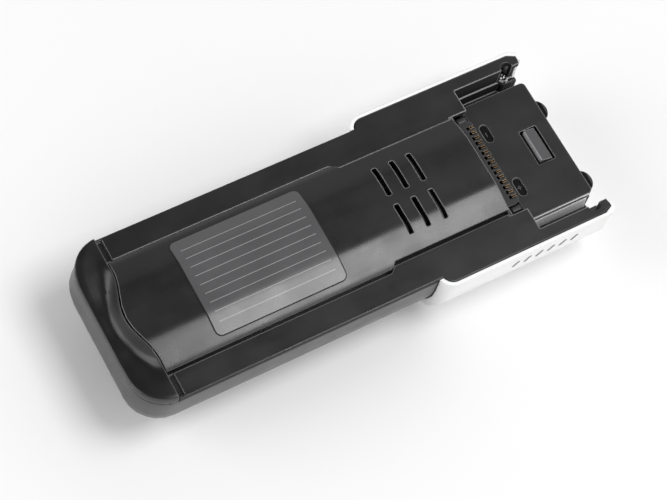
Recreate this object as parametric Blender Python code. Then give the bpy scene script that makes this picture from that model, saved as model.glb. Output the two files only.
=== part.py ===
"""Slide-in rechargeable battery pack, modelled as the assembly that it is on the bench.

The pack lies on its back: +Z comes out of the mating face, +X points to the connector end and Y runs
across. Inside the modelling functions x is measured from the rounded cap end, and the pack_origin empty
then moves everything so that the origin is under the middle of the pack. All sizes are in metres.
"""
import math

import bmesh
import bpy
import numpy as np

# Clearances
FIT = 0.0003
SEAM = 0.0006

# Body section
SHELL_STEP = 0.00535
FLANGE_THICKNESS = 0.0025
BELLY_FLAT_WIDTH = 0.0210
BELLY_RISE = 0.0283
TRAY_WALL = 0.0020
TRAY_FLOOR = 0.0015
END_RADIUS = 0.0148
END_RADIUS_AT_FLOOR = 0.0080
END_DRAFT = 0.0021
LIP_THICKNESS = 0.0012
LIP_DEPTH = 0.0025

# White side shell
SHELL_START = 0.1345
SHELL_LENGTH = 0.0846
SHELL_WIDTH = 0.0857
SHELL_WALL = 0.00135
SHELL_END_WALL = 0.0017
SHELL_CORNER = 0.0065
TIP_CHAMFER_LENGTH = 0.0037
TIP_CHAMFER_WIDTH = 0.0018
SIDE_SLOT_COUNT = 6
SIDE_SLOT_PITCH = 0.0058
SIDE_SLOT_LENGTH = 0.0046
SIDE_SLOT_WIDTH = 0.0012
SIDE_SLOT_LEAN = math.radians(35)
SIDE_SLOT_DEPTH = 0.0078
SIDE_SLOT_FROM_TIP = 0.0344

# Cells, which set the height and the width of the cover
CELL_DIAMETER = 0.0182
CELL_LENGTH = 0.0650
CELL_JOINT = 0.0012
CELL_END_GAP = 0.0014
CELL_CAP_RADIUS = 0.0040
CELL_CAP_RISE = 0.00025
HOLDER_WEB = 0.0006
HOLDER_WALL = 0.0022
HOLDER_FLOOR_WALL = 0.0009
HOLDER_TOP_WALL = 0.00055
HOLDER_CORNER = 0.0100
HOLDER_THICKNESS = 0.0060
HOLDER_FROM_END = 0.0085
MIDDLE_HOLDER_THICKNESS = 0.0100
STRIP_THICKNESS = 0.0003
STRIP_WIDTH = 0.0100
STRIP_RISER_WIDTH = 0.0036
MIDDLE_LINK_RADIUS = 0.0055

# Raised cell cover
COVER_RISE = 0.0058
COVER_WALL = 0.0019
COVER_SIDE_GAP = 0.0002
COVER_CROWN_WIDTH = 0.0204
COVER_HIP_RADIUS = 0.0160
COVER_SHOULDER_SLOPE = math.radians(15)
COVER_EDGE_WIDTH = 0.0026
COVER_EDGE_RADIUS = 0.0090
COVER_NECK_START = 0.1181
COVER_NECK_LENGTH = 0.0031
COVER_NECK_STEP = 0.0024
COVER_GAP = 0.0010
COVER_END_GAP = 0.0004
COVER_LIP_WIDTH = 0.0024
COVER_LIP_THICKNESS = 0.0015
VENT_LENGTH = 0.0140
VENT_WIDTH = 0.0023
VENT_PITCH = 0.0082
VENT_ROW_OFFSET = 0.0093
VENT_MIDDLE = 0.1410
VENTS_PER_ROW = 3

# Grip cap
CAP_LENGTH = 0.0161
CAP_WAVE_DEPTH = 0.0049
CAP_WAVE_WIDTH = 0.0440
CAP_RIM_RISE = 0.0030
CAP_RIM_DIP = 0.0039
CAP_DIP_WIDTH = 0.0240
CAP_RIM_BEVEL = 0.0006
CAP_SWEEP_LENGTH = 0.0050
CAP_EDGE_INSET = 0.0020
POCKET_LENGTH = 0.0028
POCKET_WIDTH = 0.0100
POCKET_DEPTH = 0.0012
POCKET_OUTER_WALL = 0.0009

# Connector end
ARM_WIDTH = 0.0054
CHANNEL_WIDTH = 0.0068
CHANNEL_DEPTH = 0.0168
CHANNEL_WALL = 0.0015
CHANNEL_LEDGE_DEPTH = 0.0100
CHANNEL_LEDGE_WIDTH = 0.0006
RAIL_GROOVE_HEIGHT = 0.0023
RAIL_GROOVE_DEPTH = 0.0018
PLATFORM_SETBACK = 0.0026
PLATFORM_LENGTH = 0.0317
PLATFORM_DROP = 0.0047
PLATFORM_THICKNESS = 0.0018
PLATFORM_CORNER = 0.0020
RECESS_SIDE = 0.0041
RECESS_BEAM = 0.0012
RECESS_BEAM_HEIGHT = 0.0045
OBLONG_FROM_START = 0.0041
OBLONG_LENGTH = 0.0088
OBLONG_WIDTH = 0.0037
OBLONG_DEPTH = 0.0009
OBLONG_OFFSET = 0.0139
LUG_WIDTH = 0.0112
LUG_THICKNESS = 0.0036
LUG_REACH = 0.0097
LUG_FROM_CHANNEL = 0.0030
LUG_DEPTH = 0.0194
LUG_POCKET_DEPTH = 0.0012
LUG_RIM = 0.0020
TRAY_END_WALL = 0.0018
TRAY_END_INSET = 0.0005

# Screws in the channels
SCREW_FROM_TIP = 0.0079
SCREW_HEAD_RADIUS = 0.0023
SCREW_HEAD_HEIGHT = 0.0018
SCREW_SHANK_RADIUS = 0.0013
SCREW_LENGTH = 0.0125
SCREW_SLOT_WIDTH = 0.0006
SCREW_SLOT_DEPTH = 0.0008
SCREW_BOSS_WALL = 0.0006
SCREW_NOTCH_GAP = 0.0005
SCREW_PAD_HEIGHT = 0.0060

# Contacts
CONTACT_COUNT = 15
CONTACT_PITCH = 0.00254
CONTACT_WIDTH = 0.0012
CONTACT_SHEET = 0.00034
CONTACT_LENGTH = 0.0024
CONTACT_SETBACK = 0.0003
CONTACT_SLOT_BACK = 0.0011
CONTACT_SLOT_SIDE_GAP = 0.00025
CONTACT_PROUD = 0.0003
CONTACT_FLARE = 0.00018
CARRIER_LENGTH = 0.0063
CARRIER_SETBACK = 0.0005
CARRIER_END_MARGIN = 0.0035
CARRIER_BASE = 0.0016
CARRIER_DROP = 0.0007
CARRIER_CORNER = 0.0028

# Latch
PIVOT_FROM_START = 0.0072
PIN_RADIUS = 0.00125
PIN_PROUD = 0.0002
HUB_RADIUS = 0.0026
LEVER_GAP = 0.0009
TONGUE_ARM = 0.0116
TONGUE_LENGTH = 0.0054
TONGUE_WIDTH = 0.0156
TONGUE_RISE = 0.0017
TONGUE_RAMP = 0.0018
TONGUE_SLOT_BACK = 0.0017
TONGUE_SLOT_FRONT = 0.0012
TONGUE_SLOT_SIDE = 0.0007
LEVER_ARM_THICKNESS = 0.0028
LEVER_ARM_DROP = 0.0059
LEVER_ARM_OVERHANG = 0.0025
LATCH_TRAVEL = math.radians(7)
EAR_THICKNESS = 0.0020
EAR_LENGTH = 0.0060
SPRING_ARM = 0.0115
SPRING_RADIUS = 0.0026
SPRING_WIRE = 0.0008
SPRING_TURNS = 5
SPRING_LENGTH = 0.0094
SPRING_POST_RADIUS = 0.0038

# Release button in the back
BUTTON_ARM = 0.0120
BUTTON_LENGTH = 0.0220
BUTTON_WIDTH = 0.0130
BUTTON_RECESS = 0.0006
BUTTON_LIP = 0.0012
BUTTON_LIP_THICKNESS = 0.0014
BUTTON_GAP = 0.0004
STEM_LENGTH = 0.0030
STEM_WIDTH = 0.0080

# Circuit board
BOARD_THICKNESS = 0.0016
BOARD_SIDE_GAP = 0.0017
BOARD_END_GAP = 0.00215
BOARD_POST_RADIUS = 0.0025
BOARD_POST_INSET = 0.0040

# Label
LABEL_START = 0.0407
LABEL_LENGTH = 0.0595
LABEL_WIDTH = 0.0448
LABEL_CORNER = 0.0030
LABEL_GAP = 0.0001
LABEL_THICKNESS = 0.0002

# Facets
ARC_STEPS = 6
BELLY_STEPS = 8
ROUND_SIDES = 24
SMALL_ROUND_SIDES = 12
PAST = 0.0020


def belly(half, floor, steps=BELLY_STEPS):
    """Give (half width, height) pairs up one side of the body, from its flat floor to its straight wall."""
    flat = BELLY_FLAT_WIDTH / 2
    turn = np.linspace(math.pi / 2, 0, steps + 1)
    return [(flat + (half - flat) * math.cos(t), BELLY_RISE - (BELLY_RISE - floor) * math.sin(t))
            for t in turn]


def belly_half(half, floor, height):
    """Give the half width of the body at one height on its round part."""
    flat = BELLY_FLAT_WIDTH / 2
    share = (BELLY_RISE - height) / (BELLY_RISE - floor)
    return flat + (half - flat) * math.sqrt(1 - share ** 2)


# Places across the pack, worked out from the sizes above
SHELL_HALF = SHELL_WIDTH / 2
BODY_HALF = SHELL_HALF - SHELL_STEP
INNER_INSET = SHELL_WALL + FIT
WIDE_HALF = SHELL_HALF - INNER_INSET
CHANNEL_HALF = WIDE_HALF - ARM_WIDTH
PLATFORM_HALF = CHANNEL_HALF - CHANNEL_WIDTH
RAIL_HALF = PLATFORM_HALF - RAIL_GROOVE_DEPTH
LUG_OFFSET = PLATFORM_HALF - CHANNEL_WALL - LUG_FROM_CHANNEL - LUG_WIDTH / 2
BOARD_HALF = RAIL_HALF - CHANNEL_WALL - BOARD_SIDE_GAP
CARRIER_HALF = (CONTACT_COUNT - 1) * CONTACT_PITCH / 2 + CARRIER_END_MARGIN
RECESS_HALF = CARRIER_HALF + RECESS_SIDE
CELL_RADIUS = CELL_DIAMETER / 2
CELL_SPACING = CELL_DIAMETER + 2 * FIT + HOLDER_WEB
HOLDER_HALF = CELL_SPACING / 2 + CELL_RADIUS + FIT + HOLDER_WALL
COVER_NECK_HALF = HOLDER_HALF + COVER_SIDE_GAP + COVER_WALL
COVER_HALF = COVER_NECK_HALF + COVER_NECK_STEP
PIN_HALF = TONGUE_WIDTH / 2 + 2 * FIT + EAR_THICKNESS + PIN_PROUD

# Heights
FLOOR_Z = INNER_INSET + TRAY_FLOOR
HOLDER_BOTTOM = FLOOR_Z + FIT
LOW_CELL_Z = HOLDER_BOTTOM + HOLDER_FLOOR_WALL + FIT + CELL_RADIUS
HIGH_CELL_Z = LOW_CELL_Z + CELL_SPACING
HOLDER_TOP = HIGH_CELL_Z + CELL_RADIUS + FIT + HOLDER_TOP_WALL
COVER_TOP = HOLDER_TOP + FIT + COVER_WALL
FLANGE_HEIGHT = COVER_TOP - COVER_RISE
FRAME_UNDERSIDE = FLANGE_HEIGHT - FLANGE_THICKNESS
TRAY_RIM = FRAME_UNDERSIDE - FIT
COVER_UNDERSIDE = FRAME_UNDERSIDE - FIT - COVER_LIP_THICKNESS
PLATFORM_TOP = FLANGE_HEIGHT - PLATFORM_DROP
PLATFORM_UNDERSIDE = PLATFORM_TOP - PLATFORM_THICKNESS
RAIL_TOP = PLATFORM_UNDERSIDE - RAIL_GROOVE_HEIGHT
CHANNEL_FLOOR = FLANGE_HEIGHT - CHANNEL_DEPTH
TROUGH_UNDERSIDE = CHANNEL_FLOOR - CHANNEL_WALL
LEDGE_Z = FLANGE_HEIGHT - CHANNEL_LEDGE_DEPTH
CARRIER_TOP = FLANGE_HEIGHT - CARRIER_DROP
PIVOT_Z = PLATFORM_UNDERSIDE - HUB_RADIUS - LEVER_GAP
LEVER_ARM_Z = PIVOT_Z - LEVER_ARM_DROP
LEVER_UNDERSIDE = PIVOT_Z - FIT * 2
SPRING_TOP = LEVER_UNDERSIDE - FIT
SPRING_BOTTOM = SPRING_TOP - SPRING_LENGTH
BOARD_UNDERSIDE = LEVER_ARM_Z + BUTTON_ARM * 2 * math.tan(LATCH_TRAVEL) + FIT * 7
BOARD_TOP = BOARD_UNDERSIDE + BOARD_THICKNESS

# Stations along the pack, from the cap end
SHELL_TIP = SHELL_START + SHELL_LENGTH
WIDE_START = SHELL_START + SHELL_END_WALL + FIT
ARM_TIP = SHELL_TIP - INNER_INSET
PLATFORM_END = SHELL_TIP - PLATFORM_SETBACK
PLATFORM_START = PLATFORM_END - PLATFORM_LENGTH
FLANGE_END = PLATFORM_START - FIT
TROUGH_START = FLANGE_END - CHANNEL_WALL
TRAY_END = PLATFORM_END - TRAY_END_INSET
FRAME_START = CAP_LENGTH + FIT
CARRIER_END = FLANGE_END - CARRIER_SETBACK
CARRIER_START = CARRIER_END - CARRIER_LENGTH
CONTACT_START = CARRIER_END - CONTACT_SETBACK - CONTACT_LENGTH
RECESS_START = CARRIER_START - FIT
COVER_END = RECESS_START - RECESS_BEAM - COVER_END_GAP
OBLONG_X = PLATFORM_START + OBLONG_FROM_START
PIVOT_X = PLATFORM_START + PIVOT_FROM_START
TONGUE_X = PIVOT_X + TONGUE_ARM
SPRING_X = PIVOT_X + SPRING_ARM
BUTTON_X = PIVOT_X - BUTTON_ARM
SCREW_X = SHELL_TIP - SCREW_FROM_TIP
TRAY_END_INSIDE = BODY_HALF - belly_half(BODY_HALF - TRAY_WALL, FLOOR_Z, LOW_CELL_Z - CELL_RADIUS)
COVER_END_INSIDE = CAP_LENGTH + SEAM + COVER_WALL
CELL_START = max(TRAY_END_INSIDE, COVER_END_INSIDE) + CELL_END_GAP
FRONT_CELL_START = CELL_START + CELL_LENGTH + CELL_JOINT
CELL_END = FRONT_CELL_START + CELL_LENGTH
FRONT_STRIP_X = CELL_END + CELL_CAP_RISE + FIT
BOARD_START = FRONT_STRIP_X + STRIP_THICKNESS + FIT
BOARD_END = PIVOT_X - HUB_RADIUS - BOARD_END_GAP
OVERALL_LENGTH = TRAY_END + LUG_REACH

# Finishes: colour, roughness, metallic
BLACK_SATIN = ((0.018, 0.018, 0.019), 0.42, 0.0)
BLACK_GLOSS = ((0.020, 0.020, 0.021), 0.28, 0.0)
WHITE_GLOSS = ((0.86, 0.86, 0.86), 0.30, 0.0)
LATCH_GREY = ((0.13, 0.13, 0.135), 0.45, 0.0)
LABEL_GREY = ((0.10, 0.10, 0.105), 0.38, 0.0)
BRASS = ((0.52, 0.36, 0.17), 0.32, 1.0)
STEEL = ((0.60, 0.60, 0.60), 0.28, 1.0)
NICKEL = ((0.66, 0.64, 0.60), 0.35, 1.0)
CELL_WRAP = ((0.020, 0.022, 0.026), 0.45, 0.0)
HOLDER_PLASTIC = ((0.05, 0.05, 0.05), 0.55, 0.0)
BOARD_MASK = ((0.010, 0.016, 0.012), 0.50, 0.0)


def clear_scene():
    """Remove every object that the scene starts with."""
    for item in list(bpy.data.objects):
        bpy.data.objects.remove(item, do_unlink=True)


def make_material(name, finish):
    """Give a Principled material with the colour, roughness and metallic value of a finish."""
    colour, roughness, metallic = finish
    material = bpy.data.materials.new(name)
    material.use_nodes = True
    shader = material.node_tree.nodes["Principled BSDF"]
    shader.inputs["Base Color"].default_value = (*colour, 1.0)
    shader.inputs["Roughness"].default_value = roughness
    shader.inputs["Metallic"].default_value = metallic
    return material


def solid(name, points, faces):
    """Make an object from points and faces, with every face pointing outwards."""
    mesh = bpy.data.meshes.new(name)
    mesh.from_pydata([tuple(map(float, point)) for point in points], [], faces)
    shape = bmesh.new()
    shape.from_mesh(mesh)
    bmesh.ops.recalc_face_normals(shape, faces=shape.faces)
    shape.to_mesh(mesh)
    shape.free()
    item = bpy.data.objects.new(name, mesh)
    bpy.context.scene.collection.objects.link(item)
    return item


def loft(name, rings):
    """Join rings of equal length into one closed body with a face on each end."""
    count = len(rings[0])
    points = [point for ring in rings for point in ring]
    faces = [list(range(count)), [len(points) - count + i for i in range(count)]]
    for r in range(len(rings) - 1):
        for i in range(count):
            j = (i + 1) % count
            faces.append([r * count + i, r * count + j, (r + 1) * count + j, (r + 1) * count + i])
    return solid(name, points, faces)


def prism(name, outline, low, high):
    """Extrude a plan outline of (x, y) points from one height to another."""
    return loft(name, [[(x, y, z) for x, y in outline] for z in (low, high)])


def run_along_x(name, profile, start, end):
    """Extrude a section of (y, z) points along the pack."""
    return loft(name, [[(x, y, z) for y, z in profile] for x in (start, end)])


def run_along_y(name, profile, half_width):
    """Extrude a side profile of (x, z) points evenly to both sides of the middle."""
    return loft(name, [[(x, y, z) for x, z in profile] for y in (-half_width, half_width)])


def box(name, x, y, z):
    """Make a box from its (low, high) reach along each axis."""
    return prism(name, [(x[0], y[0]), (x[1], y[0]), (x[1], y[1]), (x[0], y[1])], *z)


def circle(centre, radius, sides):
    """Give the points of a circle around a centre, in plan or in section."""
    angles = np.arange(sides) * 2 * math.pi / sides
    return [(centre[0] + radius * math.cos(a), centre[1] + radius * math.sin(a)) for a in angles]


def corner(centre, radius, start_degrees, steps=ARC_STEPS):
    """Give a quarter turn of points, anticlockwise from its starting angle."""
    angles = np.radians(start_degrees + np.linspace(0, 90, steps + 1))
    return [(centre[0] + radius * math.cos(a), centre[1] + radius * math.sin(a)) for a in angles]


def rounded_rectangle(low, high, radius, steps=ARC_STEPS):
    """Give a rectangle between two corners with all its corners rounded."""
    left, bottom = low[0] + radius, low[1] + radius
    right, top = high[0] - radius, high[1] - radius
    return (corner((right, top), radius, 0, steps) + corner((left, top), radius, 90, steps)
            + corner((left, bottom), radius, 180, steps) + corner((right, bottom), radius, 270, steps))


def stadium(centre, length, width, along_y=False, steps=ARC_STEPS):
    """Give an oblong with round ends, lengthwise along the pack or across it."""
    reach = (length - width) / 2
    angles = np.radians(np.linspace(-90, 90, 2 * steps + 1))
    right = [(reach + width / 2 * math.cos(a), width / 2 * math.sin(a)) for a in angles]
    points = right + [(-x, -y) for x, y in right]
    if along_y:
        points = [(-y, x) for x, y in points]
    return [(centre[0] + x, centre[1] + y) for x, y in points]


def boolean(target, tool, operation):
    """Apply one exact Boolean step to an object and throw its tool away."""
    modifier = target.modifiers.new("step", "BOOLEAN")
    modifier.operation = operation
    modifier.solver = "EXACT"
    modifier.object = tool
    graph = bpy.context.evaluated_depsgraph_get()
    result = bpy.data.meshes.new_from_object(target.evaluated_get(graph))
    target.modifiers.clear()
    target.data = result
    bpy.data.objects.remove(tool, do_unlink=True)


def add(target, *tools):
    """Join further shapes to an object."""
    for tool in tools:
        boolean(target, tool, "UNION")


def cut(target, *tools):
    """Cut shapes out of an object."""
    for tool in tools:
        boolean(target, tool, "DIFFERENCE")


def keep_inside(target, tool):
    """Keep only what an object shares with a shape."""
    boolean(target, tool, "INTERSECT")


def finish(item, parent, finish_values, axis_point=(0, 0, 0), smooth_degrees=30):
    """Name, dress and place a finished piece, with its origin on the given point."""
    mesh = item.data
    mesh.name = item.name
    mesh.materials.clear()
    mesh.materials.append(make_material(item.name, finish_values))
    shape = bmesh.new()
    shape.from_mesh(mesh)
    bmesh.ops.remove_doubles(shape, verts=shape.verts, dist=1e-7)
    bmesh.ops.dissolve_degenerate(shape, edges=shape.edges, dist=1e-7)
    bmesh.ops.translate(shape, verts=shape.verts, vec=[-value for value in axis_point])
    shape.to_mesh(mesh)
    shape.free()
    mesh.shade_smooth()
    mesh.set_sharp_from_angle(angle=math.radians(smooth_degrees))
    item.location = axis_point
    item.parent = parent
    return item


def belly_section(half, floor, top):
    """Give the closed section of the body as (y, z) points."""
    side = belly(half, floor) + [(half, top)]
    return side + [(-y, z) for y, z in reversed(side)]


def end_outline(half, inset, end):
    """Give the plan of the round-cornered end of the body, drawn in by an inset."""
    share = (BODY_HALF - half) / (BODY_HALF - BELLY_FLAT_WIDTH / 2)
    radius = END_RADIUS + (END_RADIUS_AT_FLOOR - END_RADIUS) * share
    return ([(end, half)] + corner((inset + radius, half - radius), radius, 90)
            + corner((inset + radius, radius - half), radius, 180) + [(end, -half)])


def narrow_body(name, wall, floor, end, top):
    """Make the narrow body, drawn in by a wall: its end leans in above the round part."""
    half = BODY_HALF - wall
    levels = [(side, BODY_HALF - side, z) for side, z in belly(half, floor)]
    lean = END_DRAFT * (top - BELLY_RISE) / (TRAY_RIM - BELLY_RISE)
    levels.append((half, wall + lean, top))
    return loft(name, [[(x, y, z) for x, y in end_outline(side, inset, end)] for side, inset, z in levels])


def wide_plan(inset, end_wall):
    """Give the plan of the wide connector end, drawn in by an inset and by its end wall."""
    start = SHELL_START + end_wall
    half = SHELL_HALF - inset
    tip = SHELL_TIP - inset
    radius = SHELL_CORNER - inset
    shoulder = half - TIP_CHAMFER_WIDTH
    return ([(tip, -shoulder), (tip, shoulder), (tip - TIP_CHAMFER_LENGTH, half)]
            + corner((start + radius, half - radius), radius, 90)
            + corner((start + radius, radius - half), radius, 180)
            + [(tip - TIP_CHAMFER_LENGTH, -half)])


def wide_body(name, inset, end_wall, top):
    """Make the wide connector end of the body, drawn in by an inset."""
    section = belly_section(SHELL_HALF - inset, inset, top)
    item = run_along_x(name, section, SHELL_START - PAST, SHELL_TIP + PAST)
    keep_inside(item, prism("plan", wide_plan(inset, end_wall), -PAST, top + PAST))
    return item


def cover_height(y):
    """Give the height of the cell cover across the pack: flat crown, round hips, sloping shoulders."""
    reach = np.maximum(np.abs(y) - COVER_CROWN_WIDTH / 2, 0.0)
    hip = COVER_HIP_RADIUS * math.sin(COVER_SHOULDER_SLOPE)
    bend = np.minimum(reach, hip)
    drop = COVER_HIP_RADIUS - np.sqrt(COVER_HIP_RADIUS ** 2 - bend ** 2)
    drop = drop + (reach - bend) * math.tan(COVER_SHOULDER_SLOPE)
    over = np.maximum(np.abs(y) - (COVER_HALF - COVER_EDGE_WIDTH), 0.0)
    return COVER_TOP - drop - over ** 2 / (2 * COVER_EDGE_RADIUS)


def cap_edge(y):
    """Give the x of the cap's inner edge across the pack, which bows towards the cap end in the middle."""
    phase = np.clip(y / (CAP_WAVE_WIDTH / 2), -1.0, 1.0) * math.pi / 2
    return CAP_LENGTH - CAP_WAVE_DEPTH * np.cos(phase) ** 2


def height_solid(name, xs, ys, tops, bottom):
    """Close a grid of heights down to a flat underside."""
    rows, columns = xs.shape
    index = np.arange(rows * columns).reshape(rows, columns)
    points = np.stack([xs, ys, tops], axis=-1).reshape(-1, 3)
    edge = np.concatenate([index[0, :-1], index[:-1, -1], index[-1, :0:-1], index[:0:-1, 0]])
    under = points[edge].copy()
    under[:, 2] = bottom
    count = len(edge)
    first = len(points)
    faces = [[int(index[i, j]), int(index[i + 1, j]), int(index[i + 1, j + 1]), int(index[i, j + 1])]
             for i in range(rows - 1) for j in range(columns - 1)]
    for k in range(count):
        after = (k + 1) % count
        faces.append([int(edge[k]), int(edge[after]), first + after, first + k])
    faces.append([first + k for k in range(count)])
    return solid(name, np.concatenate([points, under]), faces)


def cover_body(name, inset, bottom):
    """Make the raised cover's outer body, or its hollow when drawn in by its wall."""
    side = np.array([0.2, 0.395, 0.44, 0.49, 0.555, 0.7, 0.8, 0.9, 0.935, 0.97, 1.0])
    across = np.concatenate([-side[::-1], [0.0], side])
    halves = np.array([COVER_HALF, COVER_HALF, COVER_HALF - (COVER_HALF - COVER_NECK_HALF) * 0.35,
                       COVER_NECK_HALF, COVER_NECK_HALF]) - inset
    ys = halves[:, None] * across[None, :]
    neck = np.array([0.0, 0.5, 1.0]) * COVER_NECK_LENGTH + COVER_NECK_START
    xs = np.empty_like(ys)
    xs[0] = cap_edge(ys[0]) + SEAM + inset
    xs[1:4] = neck[:, None]
    xs[4] = COVER_END - inset
    return height_solid(name, xs, ys, cover_height(ys) - inset, bottom)


def cover_opening(gap):
    """Give the plan of the frame's opening for the cover, open towards the cap."""
    wide = COVER_HALF + gap
    slim = COVER_NECK_HALF + gap
    bend = COVER_NECK_START + COVER_NECK_LENGTH
    side = [(0.0, wide), (COVER_NECK_START, wide), (bend, slim), (COVER_END + gap, slim)]
    return [(x, -y) for x, y in side] + side[::-1]


def mirrored(make):
    """Make a shape for the far side (+1) and one for the near side (-1)."""
    return [make(side) for side in (1, -1)]


def back_tray(parent):
    """Model the tray with its lugs, posts and screw pads."""
    tray = narrow_body("back_tray", 0.0, 0.0, SHELL_START + SHELL_END_WALL - FIT, TRAY_RIM)
    neck = belly_section(BODY_HALF - TRAY_WALL / 2, INNER_INSET + TRAY_FLOOR / 2, TRAY_RIM - FIT)
    wide = wide_body("wide", INNER_INSET, SHELL_END_WALL + FIT, TRAY_RIM)
    cut(wide, box("end", (TRAY_END, ARM_TIP + PAST), (-SHELL_HALF, SHELL_HALF), (-PAST, FLANGE_HEIGHT)))
    add(tray, run_along_x("neck", neck, WIDE_START - 3 * PAST, WIDE_START + PAST), wide)
    cut(tray, narrow_body("hollow", TRAY_WALL, FLOOR_Z, WIDE_START + 2 * PAST, FLANGE_HEIGHT + PAST))
    cut(tray, wide_hollow())
    end = (TRAY_END - TRAY_END_WALL - PAST, ARM_TIP)
    middle = RAIL_HALF - CHANNEL_WALL - FIT
    cut(tray, box("platform_seat", end, (-middle, middle), (PLATFORM_UNDERSIDE - FIT, FLANGE_HEIGHT)))
    cut(tray, *mirrored(lambda side: box(
        "channel_mouth", end, sorted((side * (middle - FIT), side * (WIDE_HALF - TRAY_WALL))),
        (TROUGH_UNDERSIDE - FIT, FLANGE_HEIGHT))))
    add(tray, *mirrored(tray_lug), *board_posts())
    add(tray, prism("spring_post", circle((SPRING_X, 0), SPRING_POST_RADIUS, ROUND_SIDES),
                    FLOOR_Z - TRAY_FLOOR / 2, SPRING_BOTTOM - FIT))
    add(tray, *mirrored(screw_pad))
    cut(tray, *mirrored(lambda side: prism(
        "pilot", circle((SCREW_X, side * CHANNEL_HALF), SCREW_SHANK_RADIUS + FIT, SMALL_ROUND_SIDES),
        LEDGE_Z - SCREW_LENGTH - FIT, LEDGE_Z)))
    cut(tray, button_hole(FLOOR_Z + PAST))
    return finish(tray, parent, BLACK_GLOSS)


def wide_hollow():
    """Give the hollow of the tray inside the wide connector end."""
    section = belly_section(WIDE_HALF - TRAY_WALL, FLOOR_Z, FLANGE_HEIGHT)
    hollow = run_along_x("hollow", section, WIDE_START + TRAY_WALL, TRAY_END - TRAY_END_WALL)
    plan = wide_plan(INNER_INSET + TRAY_WALL, SHELL_END_WALL + FIT + TRAY_WALL)
    keep_inside(hollow, prism("plan", plan, 0.0, FLANGE_HEIGHT + PAST))
    return hollow


def button_hole(top):
    """Give the cutter of the hole in the back that the release button slides in."""
    plan = stadium((BUTTON_X, 0), BUTTON_LENGTH + 2 * BUTTON_GAP, BUTTON_WIDTH + 2 * BUTTON_GAP)
    return prism("button_hole", plan, -PAST, top)


def tray_lug(side):
    """Model one locating lug on the connector end of the tray, with a rounded nose."""
    middle = side * LUG_OFFSET
    low = FLANGE_HEIGHT - LUG_DEPTH - LUG_THICKNESS / 2
    nose = TRAY_END + LUG_REACH
    lug = prism("lug", stadium((nose - LUG_WIDTH, middle), 2 * LUG_WIDTH, LUG_WIDTH), low, low + LUG_THICKNESS)
    cut(lug, box("inside", (0.0, TRAY_END - TRAY_END_WALL / 2), (middle - LUG_WIDTH, middle + LUG_WIDTH),
                 (0.0, FLANGE_HEIGHT)))
    pocket = stadium((nose - LUG_WIDTH / 2, middle), LUG_WIDTH - 2 * LUG_RIM, LUG_RIM * 1.6, along_y=True)
    cut(lug, prism("pocket", pocket, low + LUG_THICKNESS - LUG_POCKET_DEPTH, FLANGE_HEIGHT))
    return lug


def rooted(item):
    """Trim a shape that stands in the tray so that its foot ends inside the tray's wall."""
    section = belly_section(WIDE_HALF - TRAY_WALL / 2, FLOOR_Z - TRAY_FLOOR / 2, FLANGE_HEIGHT)
    keep_inside(item, run_along_x("body", section, WIDE_START, TRAY_END))
    return item


def board_posts():
    """Model the four posts that the circuit board lies on."""
    posts = []
    for x in (BOARD_START + 2 * BOARD_POST_INSET, BOARD_END - BOARD_POST_INSET):
        for y in (BOARD_POST_INSET - BOARD_HALF, BOARD_HALF - BOARD_POST_INSET):
            posts.append(rooted(prism("post", circle((x, y), BOARD_POST_RADIUS, SMALL_ROUND_SIDES),
                                      0.0, BOARD_UNDERSIDE - FIT)))
    return posts


def screw_pad(side):
    """Model the pad of the tray that takes the tip of a channel screw."""
    reach = SCREW_SHANK_RADIUS + FIT + SCREW_BOSS_WALL
    top = TROUGH_UNDERSIDE - FIT
    plan = circle((SCREW_X, side * CHANNEL_HALF), reach, SMALL_ROUND_SIDES)
    return rooted(prism("pad", plan, top - 2 * SCREW_PAD_HEIGHT, top))


def trough_section(side):
    """Give the section of a rail channel: inner rail, floor and outer wall with its ledge."""
    inner = RAIL_HALF - CHANNEL_WALL
    outer = CHANNEL_HALF + CHANNEL_WALL
    ledge = CHANNEL_HALF - CHANNEL_LEDGE_WIDTH
    rail_inner = PLATFORM_HALF - CHANNEL_WALL
    seat = PLATFORM_UNDERSIDE - FIT
    top = FRAME_UNDERSIDE + FLANGE_THICKNESS / 2
    points = [(inner, seat), (RAIL_HALF, seat), (RAIL_HALF, RAIL_TOP), (PLATFORM_HALF, RAIL_TOP),
              (PLATFORM_HALF, CHANNEL_FLOOR), (ledge, CHANNEL_FLOOR), (ledge, LEDGE_Z),
              (CHANNEL_HALF, LEDGE_Z), (CHANNEL_HALF, top), (outer, top), (outer, TROUGH_UNDERSIDE),
              (rail_inner, TROUGH_UNDERSIDE), (rail_inner, RAIL_TOP - CHANNEL_WALL),
              (inner, RAIL_TOP - CHANNEL_WALL)]
    return [(side * y, z) for y, z in points]


def trough(side):
    """Model one rail channel with its closed end, kept clear of the wall of the tray."""
    item = run_along_x("trough", trough_section(side), TROUGH_START, TRAY_END)
    reach = sorted((side * (RAIL_HALF - CHANNEL_WALL), side * (CHANNEL_HALF + CHANNEL_WALL)))
    add(item, box("channel_end", (TROUGH_START, FLANGE_END), reach,
                  (TROUGH_UNDERSIDE, FRAME_UNDERSIDE + FLANGE_THICKNESS / 2)))
    section = belly_section(WIDE_HALF - TRAY_WALL - FIT, FLOOR_Z + FIT, FLANGE_HEIGHT)
    keep_inside(item, run_along_x("clear", section, TROUGH_START - PAST, TRAY_END + PAST))
    return item


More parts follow.
